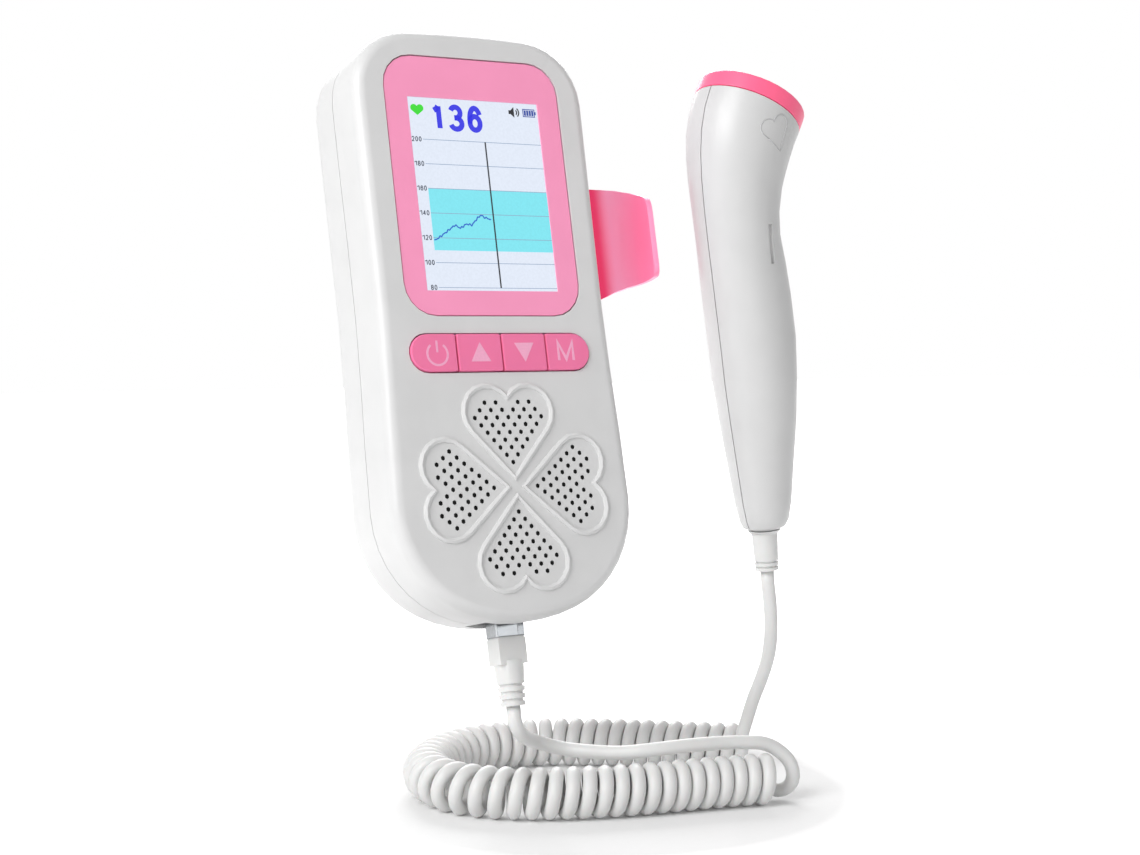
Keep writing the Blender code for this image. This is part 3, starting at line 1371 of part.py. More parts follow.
def coil_points():
    """Return the helix about the coil's axis, closer at the inside of its bends."""
    height = COIL_DIAMETER / 2 - FLOOR_DROP
    axis = smooth_path(with_ends([(x * MM, y * MM, height) for x, y in COIL_AXIS_POINTS]), FINE_STEP)
    along = np.append(0, np.cumsum(np.linalg.norm(np.diff(axis, axis=0), axis=1)))
    tangent = np.gradient(axis, along, axis=0)
    tangent /= np.linalg.norm(tangent, axis=1)[:, None]
    heading = np.unwrap(np.arctan2(tangent[:, 1], tangent[:, 0]))
    window = int(CURL_PITCH / FINE_STEP) * 2
    bend = np.abs(np.gradient(heading, along))
    bend = np.convolve(np.pad(bend, window, "edge"), np.ones(2 * window + 1) / (2 * window + 1), "valid")
    radius = (COIL_DIAMETER - CORD_DIAMETER) / 2
    turns = np.append(0, np.cumsum(np.diff(along) * (1 - bend[1:] * radius) / CURL_PITCH))
    count = round(turns[-1])
    turns *= count / turns[-1]
    read = np.linspace(0, count, count * POINTS_PER_CURL + 1)
    centre = np.stack([np.interp(read, turns, axis[:, i]) for i in range(3)], 1)
    aim = np.stack([np.interp(read, turns, tangent[:, i]) for i in range(3)], 1)
    side = np.cross((0, 0, 1), aim)
    angle = math.pi - read * FULL_TURN
    return centre + radius * (np.cos(angle)[:, None] * side + np.sin(angle)[:, None] * np.array((0, 0, 1)))


def least_gap(points):
    """Return the least clear distance between stretches of a cord that aren't neighbours."""
    fine = smooth_path(with_ends(points), FINE_STEP * 2)
    skip = int(math.pi * CORD_DIAMETER / (FINE_STEP * 2))
    least = math.inf
    for index in range(len(fine) - skip):
        least = min(least, float(np.linalg.norm(fine[index + skip:] - fine[index], axis=1).min()))
    return least - CORD_DIAMETER


def cord_piece(name, points, side_steps):
    """Make one closed tube along a chain of points."""
    curve = bpy.data.curves.new(name, "CURVE")
    curve.dimensions = "3D"
    curve.bevel_depth = CORD_DIAMETER / 2
    curve.bevel_resolution = side_steps
    curve.use_fill_caps = True
    spline = curve.splines.new("POLY")
    spline.points.add(len(points) - 1)
    for point, place in zip(spline.points, points):
        point.co = (*place, 1)
    spline.use_smooth = True
    return add_piece(name, curve, "white_cord", None)


def straight_end(place, aim, clearance):
    """Return the two points of a straight end that leaves a face squarely."""
    start = Vector(place) + Vector(aim) * clearance
    return [start, start + Vector(aim) * CORD_DIAMETER]


def in_millimetres(points):
    """Turn a hand-picked route into metres."""
    return [Vector(point) * MM for point in points]


def make_cord(monitor_frame, grip_end):
    """Make the lead from the plug, the curly stretch and the lead to the probe."""
    bpy.context.view_layer.update()
    boot = monitor_frame.matrix_world @ Vector((0, parting(), boot_end()))
    boot_aim = monitor_frame.matrix_world.to_3x3() @ Vector((0, 0, -1))
    relief = grip_end.matrix_world @ Vector((0, 0, -RELIEF_LENGTH))
    relief_aim = grip_end.matrix_world.to_3x3() @ Vector((0, 0, -1))

    helix = coil_points()
    hook = in_millimetres(HOOK_POINTS)
    hook_aim = (hook[1] - hook[0]).normalized()
    face = hook[0]
    lead_in = squared_path([*straight_end(face, hook_aim, 0), *hook[2:], helix[0], helix[1]], HOOK_STEP)
    up = Vector((0, 0, 1))
    lead_out = [Vector(helix[-1]) + up * CORD_DIAMETER * share for share in (0.5, 1.0)]
    curly = np.vstack([lead_in[:-2], helix, lead_out])
    cord_piece("curly_cord", curly, COIL_SIDE_STEPS)

    route = straight_end(boot, boot_aim, GAP) + in_millimetres(MONITOR_LEAD_POINTS)
    monitor_lead = squared_path(route + straight_end(face, -hook_aim, GAP)[::-1], LEAD_STEP)
    cord_piece("monitor_lead", monitor_lead, CORD_SIDE_STEPS)

    route = straight_end(lead_out[-1], up, GAP) + in_millimetres(PROBE_LEAD_POINTS)
    probe_lead = squared_path(route + straight_end(relief, relief_aim, GAP)[::-1], LEAD_STEP)
    cord_piece("probe_lead", probe_lead, CORD_SIDE_STEPS)

    gap = least_gap(curly)
    length = path_length(monitor_lead) + path_length(curly) + path_length(probe_lead)
    curls = (len(helix) - 1) // POINTS_PER_CURL
    print("curls %d, cord length %.3f m, least gap %.2f mm" % (curls, length, gap / MM))
    if gap < LEAST_CORD_GAP:
        raise RuntimeError("the curly cord comes too close to itself")


def main():
    """Clear the scene and build the whole set."""
    for old in list(bpy.data.objects):
        bpy.data.objects.remove(old)
    monitor = frame_empty("monitor_frame", (-SCREEN_LEFT, SCREEN_BACK, SCREEN_RISE), (-LEAN_BACK, 0, 0))
    grip = frame_empty("grip_frame", (0, 0, 0), (0, 0, PROBE_TURN))
    centre, _, tilt = probe_station(PROBE_STATION_SHARES[-1])
    head = frame_empty("head_frame", centre, (0, tilt, 0), grip)
    centre, _, tilt = probe_station(PROBE_STATION_SHARES[0])
    grip_end = frame_empty("grip_end_frame", centre, (0, tilt, 0), grip)

    make_front_cover(monitor)
    make_back_cover(monitor)
    make_display(monitor)
    make_buttons(monitor)
    make_board(monitor)
    make_speaker(monitor)
    make_battery_tray(monitor)
    make_cells(monitor)
    make_battery_door(monitor)
    make_screws(monitor)
    make_arm(monitor)
    make_socket(monitor)
    make_plug(monitor)
    make_boot(monitor)
    make_probe_shells(grip)
    make_probe_head(head)
    make_probe_board(grip)
    make_relief(grip_end)
    make_cord(monitor, grip_end)


main()
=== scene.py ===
"""Looks of a hand-held fetal heart monitor: finishes, screen, key symbols, curly cord and stage."""

import json
import math

import bmesh
import bpy
import numpy as np
from mathutils import Matrix, Vector
from mathutils.bvhtree import BVHTree

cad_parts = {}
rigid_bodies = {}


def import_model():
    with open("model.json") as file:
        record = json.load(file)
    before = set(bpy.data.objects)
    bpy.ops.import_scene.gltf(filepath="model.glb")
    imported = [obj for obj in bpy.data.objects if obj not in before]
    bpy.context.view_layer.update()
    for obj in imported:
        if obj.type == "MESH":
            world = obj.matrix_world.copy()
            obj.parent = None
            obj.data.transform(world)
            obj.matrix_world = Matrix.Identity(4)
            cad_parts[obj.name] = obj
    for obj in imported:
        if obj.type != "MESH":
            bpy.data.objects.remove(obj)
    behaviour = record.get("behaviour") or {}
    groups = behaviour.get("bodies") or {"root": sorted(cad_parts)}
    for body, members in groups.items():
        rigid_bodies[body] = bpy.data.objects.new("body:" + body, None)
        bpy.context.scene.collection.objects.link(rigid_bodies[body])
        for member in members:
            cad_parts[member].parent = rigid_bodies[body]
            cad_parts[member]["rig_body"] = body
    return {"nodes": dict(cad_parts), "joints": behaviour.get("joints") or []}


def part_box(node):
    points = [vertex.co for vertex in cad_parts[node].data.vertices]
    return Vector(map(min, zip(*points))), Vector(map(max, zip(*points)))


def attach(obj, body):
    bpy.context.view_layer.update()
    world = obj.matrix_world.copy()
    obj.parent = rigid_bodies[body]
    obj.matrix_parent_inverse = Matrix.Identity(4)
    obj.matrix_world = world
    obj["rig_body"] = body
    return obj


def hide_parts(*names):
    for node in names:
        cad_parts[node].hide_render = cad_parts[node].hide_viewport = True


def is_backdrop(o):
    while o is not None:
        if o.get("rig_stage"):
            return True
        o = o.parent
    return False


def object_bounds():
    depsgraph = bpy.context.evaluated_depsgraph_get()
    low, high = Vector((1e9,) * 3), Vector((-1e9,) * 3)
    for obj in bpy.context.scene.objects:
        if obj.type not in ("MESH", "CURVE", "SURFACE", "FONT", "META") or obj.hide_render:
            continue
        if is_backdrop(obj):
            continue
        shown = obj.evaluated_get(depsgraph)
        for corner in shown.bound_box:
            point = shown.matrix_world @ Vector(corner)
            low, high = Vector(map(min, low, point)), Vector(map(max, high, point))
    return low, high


bl_info = {
    "name": "Fetal Heart Monitor Looks",
    "version": (1, 0, 0),
    "blender": (4, 5, 0),
    "location": "3D View > Sidebar > Monitor",
    "description": "Dresses the packed monitor, probe and curly cord, and sets them on a pale stage",
    "category": "Object",
}

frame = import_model()

MM = 0.001
DEGREE = math.pi / 180
FULL_TURN = 2 * math.pi
RIGHT_ANGLE = math.pi / 2
WELD = 0.0005 * MM
FLAT_ANGLE = 0.4 * DEGREE
SHARP_ANGLE = 38 * DEGREE
SEAM_ANGLE = 30 * DEGREE

# Depths and heights in the case's own frame: x right, y into the case, z up it, screen at the origin
PANE_MIDDLE = 1.65 * MM
PARTING = 13.5 * MM
BOOT_END_DROP = 126.0 * MM
FLOOR_DROP = 123.5 * MM

# Route of the cord in the shared frame, in millimetres; the coil's axis has x and y only
MONITOR_LEAD_POINTS = (
    (-67.7, 3.1, -101.6), (-65.3, 4.3, -103.9), (-60.0, 7.3, -106.3), (-53.6, 6.0, -108.4),
    (-47.8, 1.2, -109.0), (-42.3, -3.8, -109.0), (-36.8, -7.7, -108.3), (-30.0, -9.9, -107.8),
    (-22.8, -11.0, -107.7), (-15.5, -12.3, -107.8),
)
HOOK_POINTS = (
    (-8.6, -14.0, -108.2), (-5.2, -14.6, -108.9), (-2.2, -15.4, -110.5), (0.6, -16.8, -113.6),
    (1.2, -17.6, -117.2), (0.3, -17.0, -119.9), (-1.9, -15.4, -121.0), (-4.1, -13.8, -119.9),
)
COIL_AXIS_POINTS = (
    (-6.3, -17.7), (-15.6, -15.2), (-28.6, -12.7), (-41.6, -10.2), (-54.6, -6.2), (-65.6, -1.0),
    (-74.0, 6.0), (-79.1, 15.0), (-79.6, 25.5), (-75.6, 36.0), (-66.6, 45.5), (-55.6, 51.3), (-43.6, 52.5),
    (-31.6, 49.8), (-20.6, 42.8), (-10.6, 34.8), (-1.6, 26.9), (5.4, 21.0), (10.4, 17.0),
)
PROBE_LEAD_POINTS = (
    (8.9, 12.9, -108.5), (9.4, 10.9, -103.0), (9.9, 8.0, -97.0), (10.0, 5.4, -91.4), (9.5, 3.4, -85.8),
    (8.6, 2.1, -79.8), (7.7, 1.5, -74.6),
)
RELIEF_END = (6.53, 1.15, -66.6)
RELIEF_AIM = (0.10, 0.02, -0.995)

# Length along the jacket in metres
ROUTE_STEP = 0.5 * MM
LEAD_STEP = 1.5 * MM
POINTS_PER_CURL = 22
CORD_SIDES = 16

# Picture on the lit display
SCREEN_WIDTH = 36.72 * MM
SCREEN_HEIGHT = 48.96 * MM
PICTURE_BACK = 0.42 * MM
PICTURE_STEP = 0.03 * MM
PICTURE_SPARE = -0.02 * MM
SCALE_TOP = 13.7 * MM
SCALE_STEP = 6.24 * MM
SCALE_NUMBERS = (200, 180, 160, 140, 120, 100, 80)
SCALE_LEFT = 15.2 * MM
BAND_TOP_RATE = 160
BAND_LOW_RATE = 110
HAIRLINE = 0.15 * MM

# Figures in a box one wide and one high: chains of corners, and of bows with a centre, two half sizes
# and two angles in degrees
FIGURES = {
    "0": [[(0.5, 0.5, 0.5, 0.5, 90, 450)]],
    "1": [[(0.0, 0.8), (0.6, 0.88), (0.95, 1.0)], [(1.0, 1.0), (1.0, 0.0)]],
    "2": [[(0.5, 0.71, 0.5, 0.29, 170, -30), (0.0, 0.0), (1.0, 0.0)]],
    "3": [
        [(0.45, 0.755, 0.47, 0.245, 160, -90), (0.3, 0.51)],
        [(0.3, 0.51), (0.45, 0.255, 0.55, 0.255, 90, -165)],
    ],
    "4": [[(0.75, 0.0), (0.75, 1.0)], [(0.75, 1.0), (0.0, 0.28), (1.0, 0.28)]],
    "5": [[(0.92, 1.0), (0.15, 1.0), (0.06, 0.52)], [(0.48, 0.32, 0.52, 0.32, 140, -160)]],
    "6": [[(0.5, 0.31, 0.5, 0.31, 90, 450)], [(0.55, 0.4, 0.55, 0.6, 190, 30)]],
    "7": [[(0.0, 1.0), (1.0, 1.0), (0.35, 0.0)]],
    "8": [[(0.5, 0.76, 0.44, 0.24, 90, 450)], [(0.5, 0.26, 0.5, 0.26, 90, 450)]],
    "9": [[(0.5, 0.69, 0.5, 0.31, 90, 450)], [(0.45, 0.6, 0.55, 0.6, 10, -150)]],
}
BOW_STEP = 15
MITRE_LEAST = 0.35
HEART_LOBE_SHARE = 0.27
HEART_SIDE_ANGLE = -0.6

# Drawn heart rate: how far along the trace, and the rate there
TRACE_CORNERS = (
    (0.0, 117.6), (0.1, 120.8), (0.23, 125.4), (0.37, 130.6), (0.46, 128.2),
    (0.57, 131.8), (0.66, 131.0), (0.76, 136.4), (0.83, 139.4), (0.9, 137.4), (1.0, 136.0),
)
TRACE_STEPS = 90
TRACE_START = -15.0 * MM
TRACE_END = 1.4 * MM

# Size in beats, swings over the whole trace in radians, and start of each quick swing
TRACE_SWINGS = ((0.45, 83, 0), (0.35, 131, 1))

# Keys and their symbols
KEY_ROW_DROP = 40.1 * MM
KEY_FRONT = -0.7 * MM
SYMBOL_SINK = 0.05 * MM
SYMBOL_PROUD = 0.04 * MM

# Where the arm's painted light and shade begin and end, from crimson painted shade at its root to the tip,
# and how far along the palest one, a painted highlight, lies
ARM_ROOT = -19.6 * MM
ARM_TIP = -10.5 * MM
ARM_PAINTED_HIGHLIGHT_SHARE = 0.42

# Strength of the painted glow: an even rosy emission that keeps the pink parts bright in their shade
BEZEL_GLOW = 0.05
RING_GLOW = 0.12
ARM_GLOW = 0.25

# Speaker holes in the clover
CLOVER_DROP = 73.5 * MM
HEART_COUNT = 4
HEART_TIP = 2.2 * MM
HOLE_PITCH = 3.1 * MM
HOLE_ROW_STEP = 1.86 * MM
HOLE_FIRST_ROW = 3.9 * MM
HOLE_WIDEST_ROW = 7
RIM_SIDES = 16


def linear(code):
    """Turn an sRGB hex colour into linear red, green, blue and alpha."""
    shares = [int(code[i:i + 2], 16) / 255 for i in (0, 2, 4)]
    return tuple(s / 12.92 if s <= 0.04045 else ((s + 0.055) / 1.055) ** 2.4 for s in shares) + (1.0,)


def colour_setting(name, description, code):
    """Return a colour property with an sRGB hex default."""
    return bpy.props.FloatVectorProperty(
        name=name, description=description, subtype="COLOR", size=4, min=0.0, max=1.0, default=linear(code)
    )


def number_setting(name, description, default, **limits):
    """Return a number property."""
    return bpy.props.FloatProperty(name=name, description=description, default=default, **limits)


def length_setting(name, description, default):
    """Return a length property in metres."""
    return number_setting(name, description, default, min=0.0, unit="LENGTH", precision=5)


class MonitorCaseSettings(bpy.types.PropertyGroup):
    """Colours and grain of the moulded parts"""

    shell: colour_setting("Shell", "Colour of the white case", "DEDEDE")
    # Painted shade: the probe's colour is a greyer copy of the white shell colour, standing in for the shade
    # on the probe's body
    probe: colour_setting("Probe", "Colour of the probe's body", "D5D5D5")
    trim: colour_setting("Bezel", "Colour of the frame round the screen", "FFA0C8")
    ring: colour_setting("Ring", "Colour of the ring round the probe's head", "FF678F")
    key: colour_setting("Keys", "Colour of the four push buttons", "FC80AE")
    symbol: colour_setting("Symbols", "Colour printed on the push buttons", "FFB4D4")
    # The arm's three colours paint light and shade along it: crimson painted shade at the root, the arm
    # colour as a pale painted highlight, and a deeper pink painted shade at the tip
    arm: colour_setting("Arm", "Colour of the arm that holds the probe", "FFBEDF")
    arm_root: colour_setting("Arm root", "Deeper colour of the arm beside the case", "E8205E")
    arm_tip: colour_setting("Arm tip", "Colour of the arm's tip", "FA96BE")
    grain: length_setting("Grain", "Size of the spark-eroded grain on the moulded parts", 0.6 * MM)


class MonitorScreenSettings(bpy.types.PropertyGroup):
    """What the lit display shows"""

    field: colour_setting("Field", "Colour of the lit background", "E6EEFC")
    band: colour_setting("Normal band", "Colour of the band from 110 to 160", "7FE9F5")
    digits: colour_setting("Digits", "Colour of the large number", "2B2BE8")
    heart: colour_setting("Heart", "Colour of the pulse symbol", "2FE020")
    trace: colour_setting("Trace", "Colour of the drawn heart rate", "1E5FCB")
    rate: bpy.props.IntProperty(
        name="Rate", description="Number shown in large digits", default=136, min=100, max=199
    )
    brightness: number_setting("Brightness", "Strength of the backlight", 0.95, min=0.0, max=5.0)


class MonitorCordSettings(bpy.types.PropertyGroup):
    """Sizes and colour of the curly cord"""

    diameter: length_setting("Diameter", "Diameter of the cord's jacket", 3.6 * MM)
    coil: length_setting("Coil", "Outside diameter of the curls", 13.0 * MM)
    pitch: length_setting("Pitch", "Distance from one curl to the next", 3.8 * MM)
    jacket: colour_setting("Jacket", "Colour of the cord and its strain reliefs", "E1E1E0")


class MonitorStageSettings(bpy.types.PropertyGroup):
    """Floor, lamps and camera"""

    floor: colour_setting("Floor", "Colour of the floor", "F4F4F4")
    floor_size: length_setting("Floor size", "Width of the floor", 6.0)
    ambient: number_setting("Ambient", "Strength of the light from all round", 0.38, min=0.0, max=5.0)
    key_light: number_setting("Key light", "Power of the large lamp on the left", 9.5, min=0.0, unit="POWER")
    back_light: number_setting("Back light", "Power of the lamp behind", 10.0, min=0.0, unit="POWER")
    azimuth: number_setting("Azimuth", "Turn of the camera about the object", -31.0 * DEGREE, unit="ROTATION")
    elevation: number_setting("Elevation", "Height angle of the camera", 2.98 * DEGREE, unit="ROTATION")
    focal: number_setting("Focal length", "Focal length of the camera", 63.16, min=1.0, unit="CAMERA")


def case_frame():
    """Return the matrix from the case's own frame to the row frame."""
    axis = next(Vector(j["axis"]) for j in frame["joints"] if j["name"] == "unit_off_plug")
    low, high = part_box("screen_pane")
    turn = Matrix.Rotation(-math.atan2(axis.y, axis.z), 4, "X")
    return Matrix.Translation((low + high) / 2) @ turn @ Matrix.Translation((0, -PANE_MIDDLE, 0))


def add_node(tree, kind, values=None, links=None):
    """Add a node, set its values and link its inputs."""
    node = tree.nodes.new(kind)
    for key, value in (values or {}).items():
        if isinstance(key, int) or key in node.inputs:
            node.inputs[key].default_value = value
        else:
            setattr(node, key, value)
    for key, (source, output) in (links or {}).items():
        tree.links.new(source.outputs[output], node.inputs[key])
    return node


def node_of(tree, kind):
    """Return the one node of a kind."""
    return next(node for node in tree.nodes if node.bl_idname == kind)


def mottle(tree, size, detail=2.0, stretch=(1.0, 1.0, 1.0)):
    """Return a pattern of soft blotches of a size in metres, fixed to the piece."""
    place = add_node(tree, "ShaderNodeTexCoord")
    scaled = add_node(tree, "ShaderNodeMapping", {"Scale": stretch}, {"Vector": (place, "Object")})
    values = {"Scale": 1 / size, "Detail": detail}
    return add_node(tree, "ShaderNodeTexNoise", values, {"Vector": (scaled, "Vector")})


def dimmed(colour, share):
    """Return a colour with its light multiplied by a share."""
    return tuple(channel * share for channel in colour[:3]) + (1.0,)


def patterned(
    name, values, fine, colours=None, gloss=None, depth=None, drift=None, tint=None, span=(0.35, 0.65),
    onto="Base Color",
):
    """Return a finish whose colour, roughness and height follow soft blotches.

    fine is the size, detail and stretch of the fine blotches. The height follows them to a depth. The
    roughness follows slower ones of the size drift, and the colour ones of the size tint, where these are
    given. span is where the two shades begin and end, and onto is the input of the shader that gets them.
    """
    material = bpy.data.materials.new(name)
    material.use_nodes = True
    tree = material.node_tree
    tree.nodes.clear()
    grain = mottle(tree, *fine)
    links = {}
    if colours:
        pattern = mottle(tree, tint) if tint else grain
        ramp = add_node(tree, "ShaderNodeValToRGB", {}, {"Fac": (pattern, "Fac")})
        for element, position, colour in zip(ramp.color_ramp.elements, span, colours):
            element.position, element.color = position, colour
        links[onto] = (ramp, "Color")
    if gloss:
        pattern = mottle(tree, drift) if drift else grain
        spread = {"From Min": 0.3, "From Max": 0.7, "To Min": gloss[0], "To Max": gloss[1]}
        rough = add_node(tree, "ShaderNodeMapRange", spread, {"Value": (pattern, "Fac")})
        links["Roughness"] = (rough, "Result")
    if depth:
        tooth = add_node(tree, "ShaderNodeBump", {"Distance": depth}, {"Height": (grain, "Fac")})
        links["Normal"] = (tooth, "Normal")
    shader = add_node(tree, "ShaderNodeBsdfPrincipled", values, links)
    add_node(tree, "ShaderNodeOutputMaterial", {}, {"Surface": (shader, "BSDF")})
    return material


# Finishes without settings. Each has the shader's own values, then what patterned takes: the fine blotches,
# the shades, the range of roughness, the depth, the sizes of the slower blotches, and where the shades lie.
FINISHES = {
    # Polished acrylic: clear, with a faint even haze of fine rubbing marks
    "polished_acrylic": (
        {"Base Color": linear("F8FBFF"), "Transmission Weight": 1.0, "IOR": 1.49},
        (6 * MM,), None, (0.01, 0.05),
    ),
    # Display glass under a polariser: near black, with a smooth dull gloss
    "display_glass": ({"IOR": 1.52}, (4 * MM,), ("14161A", "1B1E24"), (0.12, 0.2)),
    # Glass-filled nylon, moulded matt black: specks of filler break up the shine
    "black_moulding": (
        {"IOR": 1.53}, (0.35 * MM, 4.0), ("17181A", "26282B"), (0.45, 0.6), 0.008 * MM, 3 * MM
    ),
    # Nickel-plated steel, drawn and tumbled: fine lines along the metal and a grey lustre
    "brushed_steel": (
        {"Metallic": 1.0}, (0.25 * MM, 3.0, (1.0, 1.0, 0.08)),
        ("A9ABAE", "C9CBCD"), (0.24, 0.4), 0.003 * MM, 2 * MM,
    ),
    # Gold flashed on phosphor bronze: a warm mirror, softened by fine stamping lines
    "gold_plate": (
        {"Metallic": 1.0}, (0.2 * MM, 2.0, (1.0, 1.0, 0.1)), ("D9A93F", "F0C565"), (0.18, 0.3)
    ),
    # Battery can in printed shrink wrap: a smooth film over steel, with a slight wrinkle
    "shrink_wrapped_cell": (
        {"IOR": 1.5, "Coat Weight": 0.4, "Coat Roughness": 0.12}, (3 * MM, 2.0, (1.0, 1.0, 0.3)),
        ("23365E", "2B4274"), (0.25, 0.38), 0.02 * MM, 6 * MM,
    ),
    # Felted paper cone, pressed and dyed: dead matt with short crossing fibres
    "pressed_paper": (
        {"Roughness": 0.95, "IOR": 1.5}, (0.4 * MM, 6.0, (1.0, 0.4, 1.0)),
        ("141414", "242322"), None, 0.03 * MM,
    ),
    # Painted shade in the speaker holes: near-black, dead matt discs, one inside each hole, that make each
    # hole read as black
    "painted_hole_shade": (
        {"Roughness": 0.95, "Specular IOR Level": 0.2}, (0.3 * MM, 3.0),
        ("0C0C0C", "1A1A1A"), None, 0.02 * MM,
    ),
    # Polycarbonate moulded clear: glassy, greyed by its thickness, with faint flow lines
    "clear_polycarbonate": (
        {"Base Color": linear("B6BABE"), "Transmission Weight": 0.8, "IOR": 1.58},
        (2.5 * MM, 2.0, (1.0, 1.0, 0.25)), None, (0.08, 0.18), 0.02 * MM,
    ),
    # Loaded epoxy, cast and lapped flat: a smooth pale grey lens face with a fine even tooth
    "cast_resin": (
        {"IOR": 1.55, "Coat Weight": 0.2, "Coat Roughness": 0.2}, (0.4 * MM, 3.0),
        ("B9BCC0", "C8CBCF"), (0.3, 0.42), 0.004 * MM, None, 4 * MM,
    ),
    # Piezo ceramic, fired and lapped: dense and buff, with tiny dark pores
    "fired_ceramic": (
        {"IOR": 1.9}, (0.3 * MM, 5.0),
        ("9E8A5C", "C9B583"), (0.5, 0.65), 0.01 * MM, None, None, (0.25, 0.5),
    ),
}


def plain_finish(name):
    """Make one of the finishes without settings."""
    values, fine, codes, *rest = FINISHES[name]
    return patterned(name, values, fine, codes and [linear(code) for code in codes], *rest)


def moulded_plastic(name, colour, grain, rough, depth, values=None):
    """Moulded plastic with an even grain, a slow drift of its gloss and a faint mottle."""
    colours = (dimmed(colour, 0.965), colour)
    gloss = (rough - 0.04, rough + 0.05)
    values = {"IOR": 1.53, **(values or {})}
    return patterned(name, values, (grain,), colours, gloss, depth, drift=9 * grain, tint=20 * grain)


def spark_eroded_abs(name, colour, grain):
    """White ABS from a spark-eroded tool: a silky face that spreads each highlight into a soft patch."""
    return moulded_plastic(name, colour, grain, 0.36, 0.004 * MM)


def fluorescence(strength):
    """Return a faint rosy painted glow: an even emission that keeps shaded sides bright."""
    return {"Emission Color": linear("FF3C7A"), "Emission Strength": strength}


def moulded_pink_abs(name, colour, grain, glow):
    """Pink ABS moulded against a polished tool: tighter highlights than the shell, and an even painted
    glow that keeps its shaded side vivid."""
    return moulded_plastic(name, colour, grain, 0.34, 0.003 * MM, fluorescence(glow))


def pressed_silicone(case):
    """Silicone rubber keys pressed in a matt tool: saturated, slightly waxy, with a dull edge light."""
    values = {"Subsurface Weight": 0.08, "Subsurface Scale": 1.2 * MM, "IOR": 1.41}
    return moulded_plastic("pressed_silicone", case.key, case.grain, 0.46, 0.003 * MM, values)


def printed_symbol(case):
    """Pad-printed ink: a thin matt film, a little uneven where the pad lifted."""
    values, colours = {"Roughness": 0.6, "IOR": 1.48}, (dimmed(case.symbol, 0.94), case.symbol)
    return patterned("printed_symbol", values, (0.5 * MM,), colours, depth=0.004 * MM)


def moulded_arm_abs(case):
    """Satin pink ABS with painted light: an even painted glow keeps its hollow, shaded side bright, and a
    painted ramp runs from crimson painted shade at the root through a pale painted highlight to deeper pink
    at the tip."""
    glow = fluorescence(ARM_GLOW)
    material = moulded_plastic("moulded_arm_abs", case.arm, case.grain, 0.32, 0.003 * MM, glow)
    tree = material.node_tree
    # Painted light and shade along the arm: crimson painted shade at the root, a pale painted highlight, then
    # a deeper pink at the tip
    place = add_node(tree, "ShaderNodeTexCoord")
    split = add_node(tree, "ShaderNodeSeparateXYZ", {}, {"Vector": (place, "Object")})
    spread = {"From Min": ARM_ROOT, "From Max": ARM_TIP}
    along = add_node(tree, "ShaderNodeMapRange", spread, {"Value": (split, "X")})
    ramp = add_node(tree, "ShaderNodeValToRGB", {}, {"Fac": (along, "Result")})
    root, pale = ramp.color_ramp.elements
    root.color, pale.color, pale.position = case.arm_root, case.arm, ARM_PAINTED_HIGHLIGHT_SHARE
    ramp.color_ramp.interpolation = "EASE"
    ramp.color_ramp.elements.new(1.0).color = case.arm_tip
    tree.links.new(ramp.outputs["Color"], node_of(tree, "ShaderNodeBsdfPrincipled").inputs["Base Color"])
    return material


def lit_crystal(name, colour, brightness):
    """Lit liquid crystal: light that comes through colour filters, with the backlight's faint unevenness.
    The real cells are 0.15 mm wide, too fine to show, and are drawn 0.6 mm wide."""
    values = {"Base Color": linear("101216"), "Roughness": 0.3, "Emission Strength": brightness}
    glow = (dimmed(colour, 0.96), colour)
    return patterned(name, values, (0.6 * MM, 1.0), glow, onto="Emission Color")


def solder_masked_laminate():
    """Glass-epoxy board under green solder mask: glossy lacquer with pale tracks raised beneath it.
    Real tracks are 0.2 mm wide, too fine to show, and are drawn 1.1 mm apart."""
    material = patterned("solder_masked_laminate", {"IOR": 1.5}, (5 * MM,), gloss=(0.2, 0.35))
    tree = material.node_tree
    place = add_node(tree, "ShaderNodeTexCoord")
    sizes = {"Scale": 1.0, "Brick Width": 6.0 * MM, "Row Height": 1.1 * MM, "Mortar Size": 0.16 * MM}
    greens = {"Color1": linear("0F5A34"), "Color2": linear("116038"), "Mortar": linear("2C8A58")}
    tracks = add_node(tree, "ShaderNodeTexBrick", {**sizes, **greens}, {"Vector": (place, "Object")})
    raised = add_node(tree, "ShaderNodeBump", {"Distance": 0.02 * MM}, {"Height": (tracks, "Fac")})
    board = node_of(tree, "ShaderNodeBsdfPrincipled")
    tree.links.new(tracks.outputs["Color"], board.inputs["Base Color"])
    tree.links.new(raised.outputs["Normal"], board.inputs["Normal"])
    return material


def extruded_jacket(cord):
    """Soft PVC, extruded: a waxy skin with a broad sheen and faint drag marks."""
    values = {"IOR": 1.53, "Subsurface Weight": 0.05, "Subsurface Scale": 0.8 * MM}
    drag, colours = (1.0 * MM, 3.0), (dimmed(cord.jacket, 0.96), cord.jacket)
    sizes = {"drift": 5 * MM, "tint": 14 * MM}
    return patterned("extruded_jacket", values, drag, colours, (0.38, 0.5), 0.006 * MM, **sizes)


def dress(names, material):
    """Give CAD nodes one finish."""
    for name in names:
        node = frame["nodes"][name]
        node.data.materials.clear()
        node.data.materials.append(material)


def add_object(name, data):
    """Add an object to the scene."""
    item = bpy.data.objects.new(name, data)
    bpy.context.scene.collection.objects.link(item)
    return item


def add_piece(name, mesh, material, body):
    """Add a piece that rides on a body and takes the finish it is given."""
    mesh.materials.append(material)
    piece = add_object(name, mesh)
    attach(piece, body)
    return piece


def mesh_from(bm, name, matrix=None, rounded=False):
    """Turn a bmesh into a mesh, carried into the row frame."""
    bmesh.ops.recalc_face_normals(bm, faces=bm.faces)
    mesh = bpy.data.meshes.new(name)
    bm.to_mesh(mesh)
    bm.free()
    if matrix:
        mesh.transform(matrix)
    for face in mesh.polygons:
        face.use_smooth = rounded
    return mesh


